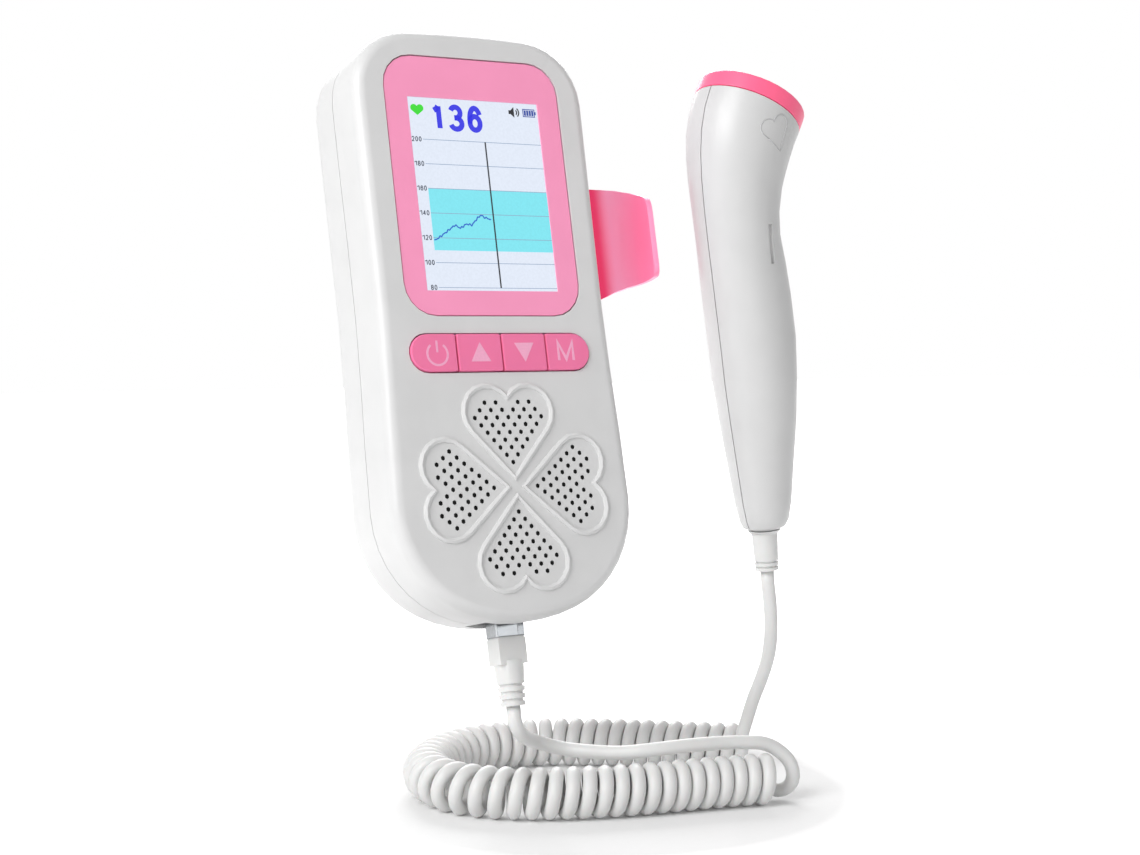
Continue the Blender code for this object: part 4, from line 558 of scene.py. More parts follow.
def finer_copy(name, edge, sharp=SHARP_ANGLE):
    """Stand a smoothly shaded copy with rounded edges in a CAD node's place."""
    node = frame["nodes"][name]
    bm = bmesh.new()
    bm.from_mesh(node.data)
    bmesh.ops.remove_doubles(bm, verts=bm.verts, dist=WELD)
    bmesh.ops.dissolve_limit(bm, angle_limit=FLAT_ANGLE, verts=bm.verts, edges=bm.edges)
    if edge:
        corners = [e for e in bm.edges if e.is_manifold and abs(e.calc_face_angle()) > SHARP_ANGLE]
        bmesh.ops.bevel(
            bm, geom=corners, offset=edge, segments=3, profile=0.5, affect="EDGES", clamp_overlap=True
        )
    bmesh.ops.recalc_face_normals(bm, faces=bm.faces)
    for rim in bm.edges:
        rim.smooth = rim.calc_face_angle(0) < sharp
    mesh = mesh_from(bm, name + "_fine", rounded=True)
    stale = mesh.attributes.get("custom_normal")
    if stale:
        mesh.attributes.remove(stale)
    piece = add_piece(name + "_fine", mesh, node.data.materials[0], node["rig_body"])
    piece.modifiers.new("even_normals", "WEIGHTED_NORMAL").keep_sharp = True
    bpy.context.view_layer.update()
    piece.data = bpy.data.meshes.new_from_object(piece.evaluated_get(bpy.context.evaluated_depsgraph_get()))
    piece.modifiers.clear()
    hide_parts(name)
    return piece


def add_in_case(bm, name, material, body, rounded=False):
    """Add a piece that is drawn in the case's own frame."""
    return add_piece(name, mesh_from(bm, name, case_frame(), rounded), material, body)


def arc(centre, radius, start, end, steps):
    """Return points along an arc, both ends included."""
    angles = [start + (end - start) * step / steps for step in range(steps + 1)]
    return [(centre[0] + radius * math.cos(a), centre[1] + radius * math.sin(a)) for a in angles]


def rectangle(left, low, right, high):
    """Return the corners of an upright rectangle."""
    return [(left, low), (right, low), (right, high), (left, high)]


def bridge(bm, rings):
    """Join each ring of corners to the next with a band of faces."""
    for low, high in zip(rings, rings[1:]):
        for step in range(len(low)):
            bm.faces.new((low[step - 1], low[step], high[step], high[step - 1]))


def add_plate(bm, outline, front, back):
    """Add a flat plate with a given outline, seen from the front."""
    near = [bm.verts.new((x, front, z)) for x, z in outline]
    far = [bm.verts.new((x, back, z)) for x, z in outline]
    bm.faces.new(near)
    bm.faces.new(far[::-1])
    for i, corner in enumerate(near):
        bm.faces.new((near[i - 1], corner, far[i], far[i - 1]))


def add_strip(bm, points, width, front, back, closed=False):
    """Add a flat stroke along a chain of points, with mitred corners."""
    spots = [Vector(point) for point in points]
    rows = []
    for i, spot in enumerate(spots):
        before = spots[i - 1] if i or closed else None
        after = spots[(i + 1) % len(spots)] if i + 1 < len(spots) or closed else None
        into = (spot - before).normalized() if before else (after - spot).normalized()
        out = (after - spot).normalized() if after else into
        along = (into + out).normalized()
        side = Vector((-along.y, along.x)) * width / 2 / max(along.dot(into), MITRE_LEAST)
        rows.append([bm.verts.new((p.x, y, p.y)) for p, y in (
            (spot + side, front), (spot - side, front), (spot - side, back), (spot + side, back)
        )])
    links = list(zip(rows, rows[1:])) + ([(rows[-1], rows[0])] if closed else [])
    for low, high in links:
        for k in range(4):
            bm.faces.new((low[k], low[k - 1], high[k - 1], high[k]))
    if not closed:
        bm.faces.new(rows[0])
        bm.faces.new(rows[-1][::-1])


def figure_chains(sign):
    """Return a figure's strokes as chains of points in a box one wide and one high."""
    chains = []
    for parts in FIGURES[sign]:
        chain = []
        for part in parts:
            if len(part) == 2:
                chain.append(part)
                continue
            x, z, half_x, half_z, start, end = part
            steps = max(1, round(abs(end - start) / BOW_STEP))
            turns = [(start + (end - start) * step / steps) * DEGREE for step in range(steps + 1)]
            chain += [(x + half_x * math.cos(a), z + half_z * math.sin(a)) for a in turns]
        chains.append(chain)
    return chains


def add_figure(bm, sign, left, low, width, height, stroke, front, back):
    """Add one plain figure that fills a box."""
    half = stroke / 2
    for chain in figure_chains(sign):
        spots = [
            (left + half + x * (width - stroke), low + half + z * (height - stroke)) for x, z in chain
        ]
        loop = math.dist(spots[0], spots[-1]) < WELD
        add_strip(bm, spots[:-1] if loop else spots, stroke, front, back, loop)


def add_drawn(name, material, body, slot, depths, plates=(), strokes=(), figures=(), edge=0.0):
    """Add a piece drawn in the case's own frame between two depths: outlines, chains with their width, and
    figures with their box. Its edges are rounded where a radius is given."""
    bm = bmesh.new()
    for outline in plates:
        add_plate(bm, outline, *depths)
    for points, width, *closed in strokes:
        add_strip(bm, points, width, *depths, *closed)
    for figure in figures:
        add_figure(bm, *figure, *depths)
    if edge:
        bmesh.ops.bevel(bm, geom=bm.edges[:], offset=edge, segments=2, affect="EDGES")
    add_in_case(bm, name, material, body)


def heart(centre, width, height, steps=8):
    """Return a heart's outline, from its tip round the right lobe."""
    lobe = width * HEART_LOBE_SHARE
    reach = width / 2 - lobe
    top = centre[1] + height / 2 - lobe
    notch = math.acos(-reach / lobe)
    right = arc((centre[0] + reach, top), lobe, HEART_SIDE_ANGLE, notch, steps)
    half = [(centre[0], centre[1] - height / 2)] + right
    return half + [(2 * centre[0] - x, z) for x, z in reversed(half[1:-1])]


def distances(points):
    """Return how far along a chain each of its points lies."""
    return np.append(0, np.cumsum(np.linalg.norm(np.diff(points, axis=0), axis=1)))


def read_at(rows, places, at):
    """Read rows that are known at some places at other ones."""
    return np.stack([np.interp(at, places, rows[:, i]) for i in range(3)], 1)


def smooth_route(points, step):
    """Read points at an even step from a smooth curve through all but the first and last."""
    points = np.array(points)
    fine = []
    for a, b, c, d in zip(points, points[1:], points[2:], points[3:]):
        count = max(2, int(np.linalg.norm(c - b) / ROUTE_STEP))
        for t in np.arange(count) / count:
            fine.append(
                b + t * (c - a) / 2
                + t ** 2 * (a - 2.5 * b + 2 * c - 0.5 * d)
                + t ** 3 * (1.5 * (b - c) + 0.5 * (d - a))
            )
    fine = np.array(fine + [points[-2]])
    along = distances(fine)
    return read_at(fine, along, np.linspace(0, along[-1], max(2, round(along[-1] / step)) + 1))


def with_ends(points):
    """Repeat the first and last steps, so that a smooth route reaches both ends."""
    points = np.array(points)
    return np.vstack([2 * points[0] - points[1], points, 2 * points[-1] - points[-2]])


def curl_route(cord):
    """Return the helix about the coil's axis, closer at the inside of its bends."""
    height = cord.coil / 2 - FLOOR_DROP
    axis = smooth_route(with_ends([(x * MM, y * MM, height) for x, y in COIL_AXIS_POINTS]), ROUTE_STEP)
    along = distances(axis)
    tangent = np.gradient(axis, along, axis=0)
    tangent /= np.linalg.norm(tangent, axis=1)[:, None]
    heading = np.unwrap(np.arctan2(tangent[:, 1], tangent[:, 0]))
    window = int(cord.pitch / ROUTE_STEP) * 2
    bend = np.abs(np.gradient(heading, along))
    bend = np.convolve(np.pad(bend, window, "edge"), np.ones(2 * window + 1) / (2 * window + 1), "valid")
    radius = (cord.coil - cord.diameter) / 2
    turns = np.append(0, np.cumsum(np.diff(along) * (1 - bend[1:] * radius) / cord.pitch))
    count = round(turns[-1])
    turns *= count / turns[-1]
    read = np.linspace(0, count, count * POINTS_PER_CURL + 1)
    side = np.cross((0, 0, 1), read_at(tangent, turns, read))
    angle = math.pi - read * FULL_TURN
    around = np.cos(angle)[:, None] * side + np.sin(angle)[:, None] * np.array((0, 0, 1))
    return read_at(axis, turns, read) + radius * around


def squared_route(points):
    """Smooth a route between its straight first and last stretches, which stay as they are."""
    return np.vstack([points[0], smooth_route(points, LEAD_STEP), points[-1]])


def cord_route(cord):
    """Return the whole cord's centreline, from the plug's boot to the probe's strain relief."""
    place = case_frame()
    boot = place @ Vector((0, PARTING, -BOOT_END_DROP))
    boot_aim = place.to_3x3() @ Vector((0, 0, -1))
    relief = Vector(RELIEF_END) * MM
    relief_aim = Vector(RELIEF_AIM).normalized()
    helix = curl_route(cord)
    eighth = POINTS_PER_CURL // 8 + 1
    lead = [boot, boot + boot_aim * cord.diameter]
    lead += [Vector(point) * MM for point in MONITOR_LEAD_POINTS + HOOK_POINTS]
    lead_in = squared_route([*lead, helix[0], helix[eighth]])
    up = Vector((0, 0, cord.diameter))
    rise = [Vector(helix[-1]), Vector(helix[-1]) + up] + [Vector(point) * MM for point in PROBE_LEAD_POINTS]
    lead_out = squared_route([*rise, relief + relief_aim * cord.diameter, relief])
    return np.vstack([lead_in[:-2], helix, lead_out[1:]])


def tube_mesh(name, route, radius, sides):
    """Sweep a round section along a route, with flat ends."""
    bm = bmesh.new()
    aims = np.gradient(route, axis=0)
    aims /= np.linalg.norm(aims, axis=1)[:, None]
    across = Vector(aims[0]).orthogonal().normalized()
    angles = [FULL_TURN * step / sides for step in range(sides)]
    rings = []
    for spot, aim in zip(route, aims):
        spot, aim = Vector(spot), Vector(aim)
        across = (across - aim * across.dot(aim)).normalized()
        other = aim.cross(across)
        ways = [across * math.cos(a) + other * math.sin(a) for a in angles]
        rings.append([bm.verts.new(spot + radius * way) for way in ways])
    bridge(bm, rings)
    bm.faces.new(rings[0][::-1])
    bm.faces.new(rings[-1])
    return mesh_from(bm, name, rounded=True)


class MONITOR_OT_camera(bpy.types.Operator):
    """Place the camera at the photograph's viewpoint"""

    bl_idname = "monitor.camera"
    bl_label = "Camera"

    screen_aside = -21.4 * MM
    screen_above = 57.9 * MM
    distance = 497.4 * MM

    def execute(self, context):
        stage = context.scene.monitor_stage
        turn, rise = stage.azimuth, stage.elevation
        back = Vector((math.sin(turn) * math.cos(rise), -math.cos(turn) * math.cos(rise), math.sin(rise)))
        right = Vector((math.cos(turn), math.sin(turn), 0))
        up = back.cross(right)
        screen = case_frame().translation
        camera = add_object("camera", bpy.data.cameras.new("camera"))
        camera.matrix_world = Matrix((right, up, back)).transposed().to_4x4()
        camera.location = screen - right * self.screen_aside - up * self.screen_above + back * self.distance
        camera.data.lens = stage.focal
        camera.data.clip_start = 10 * MM
        context.scene.camera = camera
        return {"FINISHED"}


class MONITOR_OT_cord(bpy.types.Operator):
    """Make the cord from the plug through its curls to the probe"""

    bl_idname = "monitor.cord"
    bl_label = "Curly Cord"

    collar_half = 3.6 * MM
    collar_depth = 5.9 * MM
    collar_low = -109.9 * MM
    collar_high = -108.8 * MM
    collar_edge = 0.1 * MM

    def execute(self, context):
        cord = context.scene.monitor_cord
        jacket = bpy.data.materials["extruded_jacket"]
        route = cord_route(cord)
        mesh = tube_mesh("cord", route, cord.diameter / 2, CORD_SIDES)
        piece = add_piece("cord", mesh, jacket, "probe_set")
        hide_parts("monitor_lead", "curly_cord", "probe_lead")
        half, deep = self.collar_half, self.collar_depth / 2
        outline = rectangle(-half, self.collar_low, half, self.collar_high)
        depths = (PARTING - deep, PARTING + deep)
        add_drawn("boot_collar", jacket, "probe_set", "cord_jacket", depths, [outline], edge=self.collar_edge)
        return {"FINISHED"}


class MONITOR_OT_case(bpy.types.Operator):
    """Give the outside mouldings their finish"""

    bl_idname = "monitor.case"
    bl_label = "Case and Probe Finish"

    def execute(self, context):
        case = context.scene.monitor_case
        white = spark_eroded_abs("spark_eroded_abs", case.shell, case.grain)
        dress(("front_cover", "back_cover", "battery_door"), white)
        # Painted shade: the probe shells take a greyer copy of the white finish
        shaded_white = spark_eroded_abs("spark_eroded_probe_abs_painted_shade", case.probe, case.grain)
        dress(("probe_shell_left", "probe_shell_right"), shaded_white)
        dress(("screen_bezel",), moulded_pink_abs("moulded_pink_abs", case.trim, case.grain, BEZEL_GLOW))
        dress(("probe_ring",), moulded_pink_abs("moulded_ring_abs", case.ring, case.grain, RING_GLOW))
        dress(("power_button", "up_button", "down_button", "menu_button"), pressed_silicone(case))
        dress(("probe_arm",), moulded_arm_abs(case))
        dress(("screen_pane",), plain_finish("polished_acrylic"))
        dress(("acoustic_window",), plain_finish("cast_resin"))
        dress(("plug_boot", "probe_strain_relief"), extruded_jacket(context.scene.monitor_cord))
        dress(("plug_body",), plain_finish("clear_polycarbonate"))
        return {"FINISHED"}


class MONITOR_OT_inside(bpy.types.Operator):
    """Give the parts inside the case and the probe their finish"""

    bl_idname = "monitor.inside"
    bl_label = "Inside Finish"

    nodes = {
        "display_glass": ("lcd_panel",),
        "black_moulding": (
            "power_switch", "up_switch", "down_switch", "menu_switch", "lcd_frame", "processor_chip",
            "battery_tray", "probe_socket", "transducer_backing",
        ),
        "brushed_steel": (
            "speaker_basket", "speaker_magnet", "contact_plate", "battery_spring_1", "battery_spring_2",
        ),
        "pressed_paper": ("speaker_cone",),
        "shrink_wrapped_cell": ("battery_cell_1", "battery_cell_2"),
        "fired_ceramic": ("transmit_crystal", "receive_crystal"),
    }

    def execute(self, context):
        for finish, names in self.nodes.items():
            dress(names, plain_finish(finish))
        dress(("main_board", "probe_board"), solder_masked_laminate())
        screws = [name for name in frame["nodes"] if "screw" in name]
        dress(screws, bpy.data.materials["brushed_steel"])
        return {"FINISHED"}


class MONITOR_OT_edges(bpy.types.Operator):
    """Round the edges of the outside pieces and shade their curves smoothly"""

    bl_idname = "monitor.edges"
    bl_label = "Rounded Edges"

    # Radius of each piece's rounded edges in millimetres; the CAD's own roundings serve where it is zero
    radii = {
        "front_cover": 0.0, "back_cover": 0.0, "battery_door": 0.3, "screen_bezel": 0.12,
        "power_button": 0.45, "up_button": 0.35, "down_button": 0.35, "menu_button": 0.45,
        "probe_arm": 0.66, "probe_shell_left": 0.0, "probe_shell_right": 0.0, "probe_ring": 0.25,
        "acoustic_window": 0.25, "plug_boot": 0.0, "plug_body": 0.25, "probe_strain_relief": 0.0,
    }
    screw_radius = 0.12

    def execute(self, context):
        for name, radius in self.radii.items():
            finer_copy(name, radius * MM, SEAM_ANGLE if "shell" in name else SHARP_ANGLE)
        for name in frame["nodes"]:
            if "screw" in name:
                finer_copy(name, self.screw_radius * MM)
        return {"FINISHED"}


def rate_height(rate):
    """Return the height of a heart rate on the display's scale."""
    step = SCALE_NUMBERS[0] - SCALE_NUMBERS[1]
    return SCALE_TOP - (SCALE_NUMBERS[0] - rate) / step * SCALE_STEP


def trace_points():
    """Return the drawn heart rate: a climb with small quick swings."""
    points = []
    for step in range(TRACE_STEPS + 1):
        share = step / TRACE_STEPS
        rate = np.interp(share, *zip(*TRACE_CORNERS))
        rate += sum(size * math.sin(quick * share + start) for size, quick, start in TRACE_SWINGS)
        points.append((TRACE_START + (TRACE_END - TRACE_START) * share, rate_height(rate)))
    return points


class MONITOR_OT_picture(bpy.types.Operator):
    """Light the display with its number, scale, band and trace"""

    bl_idname = "monitor.picture"
    bl_label = "Screen Picture"

    # Left side and width of each digit; the other sizes are height and stroke
    digit_boxes = ((-12.1 * MM, 2.7 * MM), (-7.35 * MM, 4.2 * MM), (-2.2 * MM, 4.2 * MM))
    digit_sizes = (7.05 * MM, 1.38 * MM)
    digit_low = 16.05 * MM
    label_left = 18.3 * MM
    label_step = 0.97 * MM
    label_width = 0.76 * MM
    label_sizes = (1.33 * MM, 0.22 * MM)
    cursor_across = 2.15 * MM
    cursor_width = 0.4 * MM
    trace_width = 0.32 * MM
    pulse = ((-16.0 * MM, 21.2 * MM), 3.6 * MM, 2.8 * MM)

    icon_height = 22.0 * MM
    sound_across = 10.5 * MM
    sound_cone = ((-0.6, -0.5), (0.0, -0.5), (0.95, -1.4), (0.95, 1.4), (0.0, 0.5), (-0.6, 0.5))
    wave_radii = (0.75 * MM, 1.35 * MM)
    wave_width = 0.34 * MM
    wave_open = 50 * DEGREE
    cell_left = 14.1 * MM
    cell_right = 17.4 * MM
    cell_half = 0.95 * MM
    cell_stroke = 0.22 * MM

    # Place across, half height and width of the battery symbol's end and bars
    cell_strokes = ((17.65, 0.4, 0.34),) + tuple((14.65 + 0.73 * step, 0.7, 0.56) for step in range(4))

    def add(self, name, colour, level, *drawn, **more):
        """Add one layer of the picture."""
        back = PICTURE_BACK - level * PICTURE_STEP
        light = lit_crystal(name + "_light", colour, bpy.context.scene.monitor_screen.brightness)
        add_drawn(name, light, "display_unit", "lcd_glass", (back - PICTURE_STEP, back), *drawn, **more)

    def execute(self, context):
        screen = context.scene.monitor_screen
        half_x, half_z = SCREEN_WIDTH / 2 + PICTURE_SPARE, SCREEN_HEIGHT / 2 + PICTURE_SPARE
        self.add("lit_field", screen.field, 0, [rectangle(-half_x, -half_z, half_x, half_z)])
        low, high = rate_height(BAND_LOW_RATE), rate_height(BAND_TOP_RATE)
        self.add("normal_band", screen.band, 1, [rectangle(-SCALE_LEFT, low, half_x, high)])

        heights = {number: rate_height(number) for number in SCALE_NUMBERS}
        lines = [([(-SCALE_LEFT, height), (half_x, height)], HAIRLINE) for height in heights.values()]
        self.add("scale_lines", linear("8FA5C2"), 2, strokes=lines)
        labels = []
        for number, height in heights.items():
            signs = str(number)
            low = max(height - self.label_sizes[0] / 2, -SCREEN_HEIGHT / 2)
            for place, sign in enumerate(signs, 3 - len(signs)):
                left = place * self.label_step - self.label_left
                labels.append((sign, left, low, self.label_width, *self.label_sizes))
        self.add("scale_numbers", linear("3F4658"), 3, figures=labels)

        cursor = [(self.cursor_across, SCALE_TOP), (self.cursor_across, heights[SCALE_NUMBERS[-1]])]
        self.add("cursor_line", linear("22252B"), 4, strokes=[(cursor, self.cursor_width)])
        self.add("rate_trace", screen.trace, 4, strokes=[(trace_points(), self.trace_width)])
        boxes = zip(str(screen.rate), self.digit_boxes)
        digits = [(sign, left, self.digit_low, width, *self.digit_sizes) for sign, (left, width) in boxes]
        self.add("rate_digits", screen.digits, 3, figures=digits)
        self.add("pulse_heart", screen.heart, 3, [heart(*self.pulse)])
        self.add_icons()
        return {"FINISHED"}

    def add_icons(self):
        """Add the sound and battery symbols."""
        x, z, half = self.sound_across, self.icon_height, self.cell_half
        cone = [(x + a * MM, z + b * MM) for a, b in self.sound_cone]
        waves = [arc((x + MM, z), radius, -self.wave_open, self.wave_open, 6) for radius in self.wave_radii]
        strokes = [(wave, self.wave_width) for wave in waves]
        self.add("sound_symbol", linear("101218"), 3, [cone], strokes)

        strokes = [(rectangle(self.cell_left, z - half, self.cell_right, z + half), self.cell_stroke, True)]
        for across, tall, width in self.cell_strokes:
            strokes.append(([(across * MM, z - tall * MM), (across * MM, z + tall * MM)], width * MM))
        self.add("charge_symbol", linear("1D3FA0"), 3, strokes=strokes)


class MONITOR_OT_symbols(bpy.types.Operator):
    """Print the symbols on the push buttons"""

    bl_idname = "monitor.symbols"
    bl_label = "Key Symbols"

    end_key = 18.0 * MM
    middle_key = 6.2 * MM
    ring_radius = 2.75 * MM
    ring_drop = 0.35 * MM
    ring_open = 38 * DEGREE
    bar_low = 0.4 * MM
    bar_high = 3.3 * MM
    stroke = 0.55 * MM
    triangle_half = 2.75 * MM
    triangle_low = -2.3 * MM
    triangle_high = 2.5 * MM
    letter_stroke = 0.72 * MM
    letter_half = 2.1 * MM
    letter_low = -2.2 * MM
    letter_high = 2.4 * MM
    letter_dip = 0.3 * MM

    def execute(self, context):
        ink = printed_symbol(context.scene.monitor_case)
        depths = (KEY_FRONT - SYMBOL_PROUD, KEY_FRONT + SYMBOL_SINK)
        row = -KEY_ROW_DROP

        x, z = -self.end_key, row - self.ring_drop
        start, end = RIGHT_ANGLE + self.ring_open, RIGHT_ANGLE - self.ring_open + FULL_TURN
        ring = (arc((x, z), self.ring_radius, start, end, 28), self.stroke)
        bar = ([(x, z + self.bar_low), (x, z + self.bar_high)], self.stroke)
        add_drawn("power_symbol", ink, "power_key", "pink_button", depths, strokes=[ring, bar])

        for name, side, body in (("up_symbol", 1, "up_key"), ("down_symbol", -1, "down_key")):
            x, half = -side * self.middle_key, self.triangle_half
            low, high = row + side * self.triangle_low, row + side * self.triangle_high
            add_drawn(name, ink, body, "pink_button", depths, [[(x - half, low), (x + half, low), (x, high)]])

        left, right = self.end_key - self.letter_half, self.end_key + self.letter_half
        low, high = row + self.letter_low, row + self.letter_high
        legs = [(left, low), (left, high), (self.end_key, low + self.letter_dip), (right, high), (right, low)]
        letter = [(legs, self.letter_stroke)]
        add_drawn("menu_symbol", ink, "menu_key", "pink_button", depths, strokes=letter)
        return {"FINISHED"}


def heart_hole_places():
    """Return the holes of one grille, in the heart's own x and z."""
    rows = [[i - row / 2 for i in range(row + 1)] for row in range(HOLE_WIDEST_ROW)]
    rows.append([i - (HOLE_WIDEST_ROW - 2) / 2 for i in range(HOLE_WIDEST_ROW - 1)])
    rows.append([-2, -1, 1, 2])
    return [
        (place * HOLE_PITCH, HOLE_FIRST_ROW + index * HOLE_ROW_STEP)
        for index, row in enumerate(rows)
        for place in row
    ]


def on_clover(place, index):
    """Carry a point of one heart to its leaf of the clover."""
    angle = index * FULL_TURN / HEART_COUNT
    x, z = place[0], place[1] + HEART_TIP
    across = x * math.cos(angle) + z * math.sin(angle)
    return across, z * math.cos(angle) - x * math.sin(angle) - CLOVER_DROP


class MONITOR_OT_grille(bpy.types.Operator):
    """Round the mouth of every speaker hole"""

    bl_idname = "monitor.grille"
    bl_label = "Grille Rims"

    # Radius and depth of the rim's section, from its outer edge inwards
    section = ((0.82, 0.03), (0.82, -0.02), (0.78, -0.035), (0.71, -0.01), (0.65, 0.06), (0.63, 0.3))
    cloth_radius = 0.64 * MM
    cloth_front = 0.22 * MM
    cloth_back = 0.3 * MM

    def execute(self, context):
        rims, hole_shade = bmesh.new(), bmesh.new()
        for index in range(HEART_COUNT):
            for place in heart_hole_places():
                spot = on_clover(place, index)
                rings = []
                for radius, depth in self.section:
                    spots = arc(spot, radius * MM, 0, FULL_TURN, RIM_SIDES)[:-1]
                    rings.append([rims.verts.new((x, depth * MM, z)) for x, z in spots])
                bridge(rims, rings)
                # Painted shade: a near-black disc inside each hole stands in for the shade within it
                disc = arc(spot, self.cloth_radius, 0, FULL_TURN, RIM_SIDES)[:-1]
                add_plate(hole_shade, disc, self.cloth_front, self.cloth_back)
        white = frame["nodes"]["front_cover"].data.materials[0]
        add_in_case(rims, "grille_rims", white, "display_unit", rounded=True)
        add_in_case(hole_shade, "painted_hole_shade_discs", plain_finish("painted_hole_shade"), "display_unit")
        return {"FINISHED"}


class MONITOR_OT_probe_mark(bpy.types.Operator):
    """Draw the fine heart line engraved on the probe's side"""

    bl_idname = "monitor.probe_mark"
    bl_label = "Probe Heart Line"

    centre = (-2.6 * MM, -20.0 * MM, 45.6 * MM)
    width = 8.4 * MM
    height = 8.8 * MM
    turn = 20 * DEGREE
    line_radius = 0.16 * MM

    def execute(self, context):
        outline = heart((0, 0), self.width, self.height, 12)
        shells = bmesh.new()
        for name in ("probe_shell_left", "probe_shell_right"):
            shells.from_mesh(frame["nodes"][name].data)
        tree = BVHTree.FromBMesh(shells)
        shells.free()
        turn = Matrix.Rotation(self.turn, 2)
        route = []
        for i, spot in enumerate(outline):
            before = Vector(outline[i - 1])
            for share in (0.25, 0.5, 0.75, 1.0):
                x, z = turn @ before.lerp(Vector(spot), share)
                start = Vector(self.centre) + Vector((x, 0, z))
                hit = tree.ray_cast(start, Vector((0, 1, 0)))[0]
                if hit is None:
                    raise RuntimeError("the heart line misses the probe")
                route.append(hit)
        route = np.array(route + route[:1])
        mesh = tube_mesh("probe_heart_line", route, self.line_radius, 8)
        # Painted shade: a thin tube of darker grey along the surface stands in for the shade in the engraved
        # groove
        line = moulded_plastic("engraved_line_painted_shade", linear("BDBDBE"), 0.4 * MM, 0.5, 0.003 * MM)
        add_piece("probe_heart_line", mesh, line, "probe_set")
        return {"FINISHED"}


class MONITOR_OT_small_parts(bpy.types.Operator):
    """Add the plug's gilt blades, the crosses in the screw heads as painted shade, and the arrow on the
    battery door
    """

    bl_idname = "monitor.small_parts"
    bl_label = "Small Parts"

    # Six blades, 1.02 mm apart
    blade_places = [(index - 2.5) * 1.02 * MM for index in range(6)]
    blade_width = 0.35 * MM
    blade_depths = (10.38 * MM, 11.6 * MM)
    blade_low = -101.6 * MM
    blade_top = -96.9 * MM

    # Place across and height of the screws of the case and of the arm, and the depth of their heads
    screw_places = [(side * x, z, 22.0) for x, z in ((26.8, 22.0), (25.5, -82.0)) for side in (-1, 1)]
    screw_places += [(x, -4.6, 28.7) for x in (-9.0, 19.0)]
    wing = 1.15 * MM
    slot = 0.42 * MM
    sink = 0.06 * MM

    arrow = ((-3.0 * MM, -47.0 * MM), (0.0, -51.5 * MM), (3.0 * MM, -47.0 * MM))
    arrow_depths = (26.75 * MM, 27.25 * MM)
    arrow_edge = 0.12 * MM

    def execute(self, context):
        blades = [([(x, self.blade_low), (x, self.blade_top)], self.blade_width) for x in self.blade_places]
        gilt = plain_finish("gold_plate")
        add_drawn("plug_contacts", gilt, "probe_set", "steel", self.blade_depths, strokes=blades)

        # Painted shade: thin black crosses laid on the steel screw heads stand in for the shade in their
        # cross slots
        slot_shade = bmesh.new()
        for place in self.screw_places:
            x, z, head = (value * MM for value in place)
            depths = (head - self.sink, head + self.sink / 4)
            cross = [[(x - self.wing, z), (x + self.wing, z)]]
            cross += [[(x, z + side * self.slot / 2), (x, z + side * self.wing)] for side in (-1, 1)]
            for stroke in cross:
                add_strip(slot_shade, stroke, self.slot, *depths)
        add_in_case(slot_shade, "painted_screw_slot_shade", plain_finish("black_moulding"), "display_unit")

        white = frame["nodes"]["battery_door"].data.materials[0]
        faces = self.arrow_depths
        add_drawn("door_arrow", white, "door", "white_shell", faces, [self.arrow], edge=self.arrow_edge)
        return {"FINISHED"}


def seen_share(tree):
    """Return a node that is one for rays that show the surroundings themselves."""
    path = add_node(tree, "ShaderNodeLightPath")
    seen = (path, "Is Camera Ray")
    for kind in ("Is Glossy Ray", "Is Transmission Ray"):
        most = add_node(tree, "ShaderNodeMath", {"operation": "MAXIMUM"}, {0: seen, 1: (path, kind)})
        seen = (most, "Value")
    return most


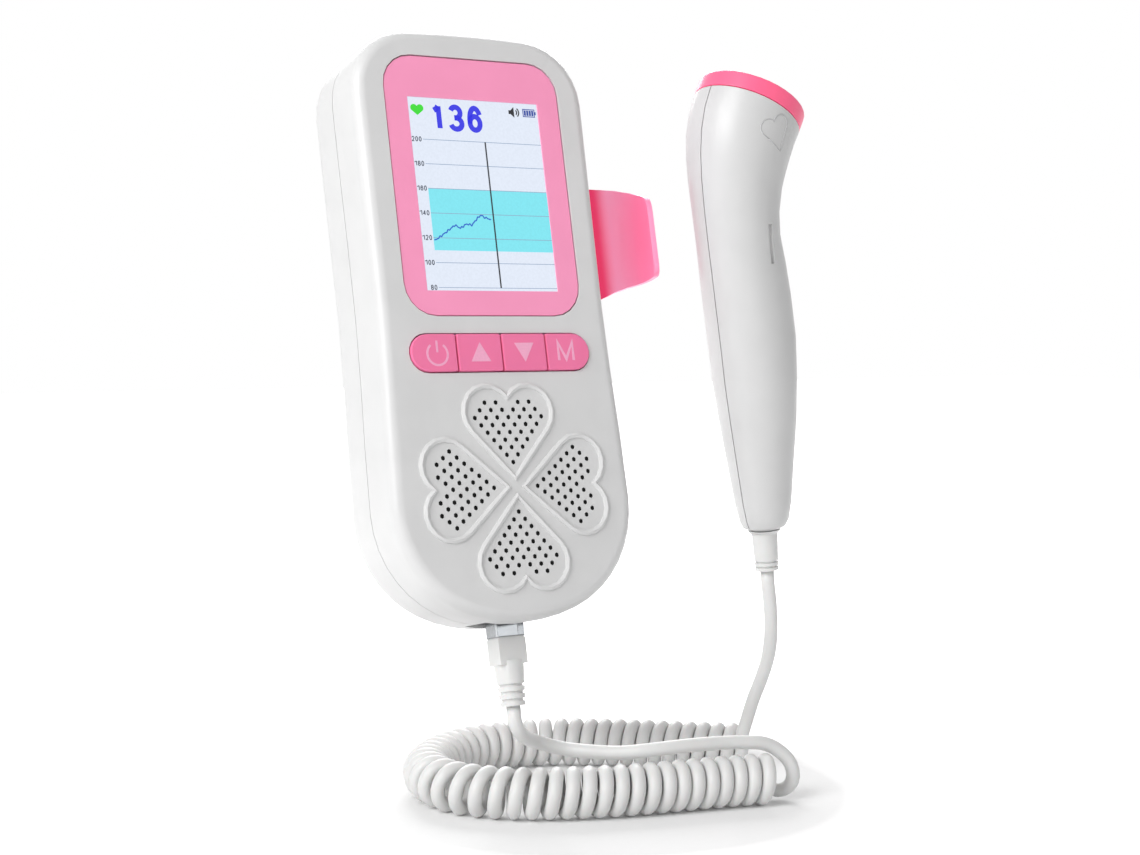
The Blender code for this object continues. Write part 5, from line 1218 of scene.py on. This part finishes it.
class MONITOR_OT_stage(bpy.types.Operator):
    """Lay the floor and hang the lamps"""

    bl_idname = "monitor.stage"
    bl_label = "Stage"

    floor_centre = (-37 * MM, 18 * MM, -FLOOR_DROP)
    floor_lift = 0.05
    shade_reach = 64 * MM
    white_reach = 95 * MM
    key_place = (-0.95, -0.35, 0.55)
    key_size = 0.7
    back_place = (0.45, 1.0, 0.7)
    back_size = 0.8

    def floor_finish(self, stage):
        """Matt painted board: even and dull, with a soft roller texture; seen whiter than it lights."""
        values = {"Roughness": 0.9, "Specular IOR Level": 0.1}
        colours = (dimmed(stage.floor, 0.99), stage.floor)
        material = patterned("painted_board", values, (2 * MM,), colours, depth=0.01 * MM)
        tree = material.node_tree
        place = add_node(tree, "ShaderNodeTexCoord")
        reach = add_node(tree, "ShaderNodeVectorMath", {"operation": "LENGTH"}, {0: (place, "Object")})
        rings = {"From Min": self.shade_reach, "From Max": self.white_reach, "To Min": self.floor_lift}
        level = add_node(tree, "ShaderNodeMapRange", rings, {"Value": (reach, "Value")})
        shares = {0: (seen_share(tree), "Value"), 1: (level, "Result")}
        lift = add_node(tree, "ShaderNodeMath", {"operation": "MULTIPLY"}, shares)
        glow = add_node(tree, "ShaderNodeEmission", {}, {"Strength": (lift, "Value")})
        board = node_of(tree, "ShaderNodeBsdfPrincipled")
        whole = add_node(tree, "ShaderNodeAddShader", {}, {0: (board, "BSDF"), 1: (glow, "Emission")})
        tree.links.new(whole.outputs["Shader"], node_of(tree, "ShaderNodeOutputMaterial").inputs["Surface"])
        return material

    def add_floor(self, stage):
        """Add the floor, just under the cord."""
        bm = bmesh.new()
        bmesh.ops.create_grid(bm, x_segments=8, y_segments=8, size=stage.floor_size / 2)
        mesh = mesh_from(bm, "floor")
        mesh.materials.append(self.floor_finish(stage))
        floor = add_object("floor", mesh)
        floor.location = self.floor_centre
        floor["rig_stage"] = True

    def add_lamp(self, name, place, size, power, target):
        """Add a square soft lamp that points at the object."""
        light = bpy.data.lights.new(name, "AREA")
        light.size, light.energy = size, power
        lamp = add_object(name, light)
        lamp.location = place
        lamp.rotation_euler = (target - Vector(place)).to_track_quat("-Z", "Y").to_euler()

    def add_sky(self, stage):
        """Light the object evenly from all round, and show plain white behind it."""
        world = bpy.data.worlds.new("studio")
        world.use_nodes = True
        tree = world.node_tree
        tree.nodes.clear()
        seen = {"Value": (seen_share(tree), "Value")}
        strength = add_node(tree, "ShaderNodeMapRange", {"To Min": stage.ambient}, seen)
        white, links = {"Color": (1, 1, 1, 1)}, {"Strength": (strength, "Result")}
        sky = add_node(tree, "ShaderNodeBackground", white, links)
        add_node(tree, "ShaderNodeOutputWorld", {}, {"Surface": (sky, "Background")})
        bpy.context.scene.world = world

    def execute(self, context):
        stage = context.scene.monitor_stage
        self.add_floor(stage)
        self.add_sky(stage)
        low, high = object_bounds()
        middle = (Vector(low) + Vector(high)) / 2
        self.add_lamp("key_lamp", self.key_place, self.key_size, stage.key_light, middle)
        self.add_lamp("back_lamp", self.back_place, self.back_size, stage.back_light, middle)
        return {"FINISHED"}


class MONITOR_PT_looks(bpy.types.Panel):
    """Settings and steps of the monitor's looks"""

    bl_idname = "MONITOR_PT_looks"
    bl_label = "Monitor Looks"
    bl_space_type = "VIEW_3D"
    bl_region_type = "UI"
    bl_category = "Monitor"

    def draw(self, context):
        for name, group in SETTINGS.items():
            box = self.layout.box()
            box.label(text=group.__doc__)
            settings = getattr(context.scene, name)
            for key in group.__annotations__:
                box.prop(settings, key)
        for step in STEPS:
            self.layout.operator(step.bl_idname)


SETTINGS = {
    "monitor_case": MonitorCaseSettings,
    "monitor_screen": MonitorScreenSettings,
    "monitor_cord": MonitorCordSettings,
    "monitor_stage": MonitorStageSettings,
}
STEPS = (
    MONITOR_OT_camera, MONITOR_OT_case, MONITOR_OT_inside, MONITOR_OT_edges, MONITOR_OT_cord,
    MONITOR_OT_picture, MONITOR_OT_symbols, MONITOR_OT_grille, MONITOR_OT_probe_mark,
    MONITOR_OT_small_parts, MONITOR_OT_stage,
)


def register():
    """Register the settings, the steps and the panel."""
    for group in (*SETTINGS.values(), *STEPS, MONITOR_PT_looks):
        bpy.utils.register_class(group)
    for name, group in SETTINGS.items():
        setattr(bpy.types.Scene, name, bpy.props.PointerProperty(type=group))


def unregister():
    """Take the settings, the steps and the panel away again."""
    for name in SETTINGS:
        delattr(bpy.types.Scene, name)
    for group in reversed((*SETTINGS.values(), *STEPS, MONITOR_PT_looks)):
        bpy.utils.unregister_class(group)


def main():
    """Dress the monitor and set it on its stage."""
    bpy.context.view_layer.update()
    register()
    bpy.context.scene.view_settings.view_transform = "Standard"
    for step in STEPS:
        getattr(bpy.ops.monitor, step.bl_idname.split(".")[1])()


if __name__ == "__main__":
    main()
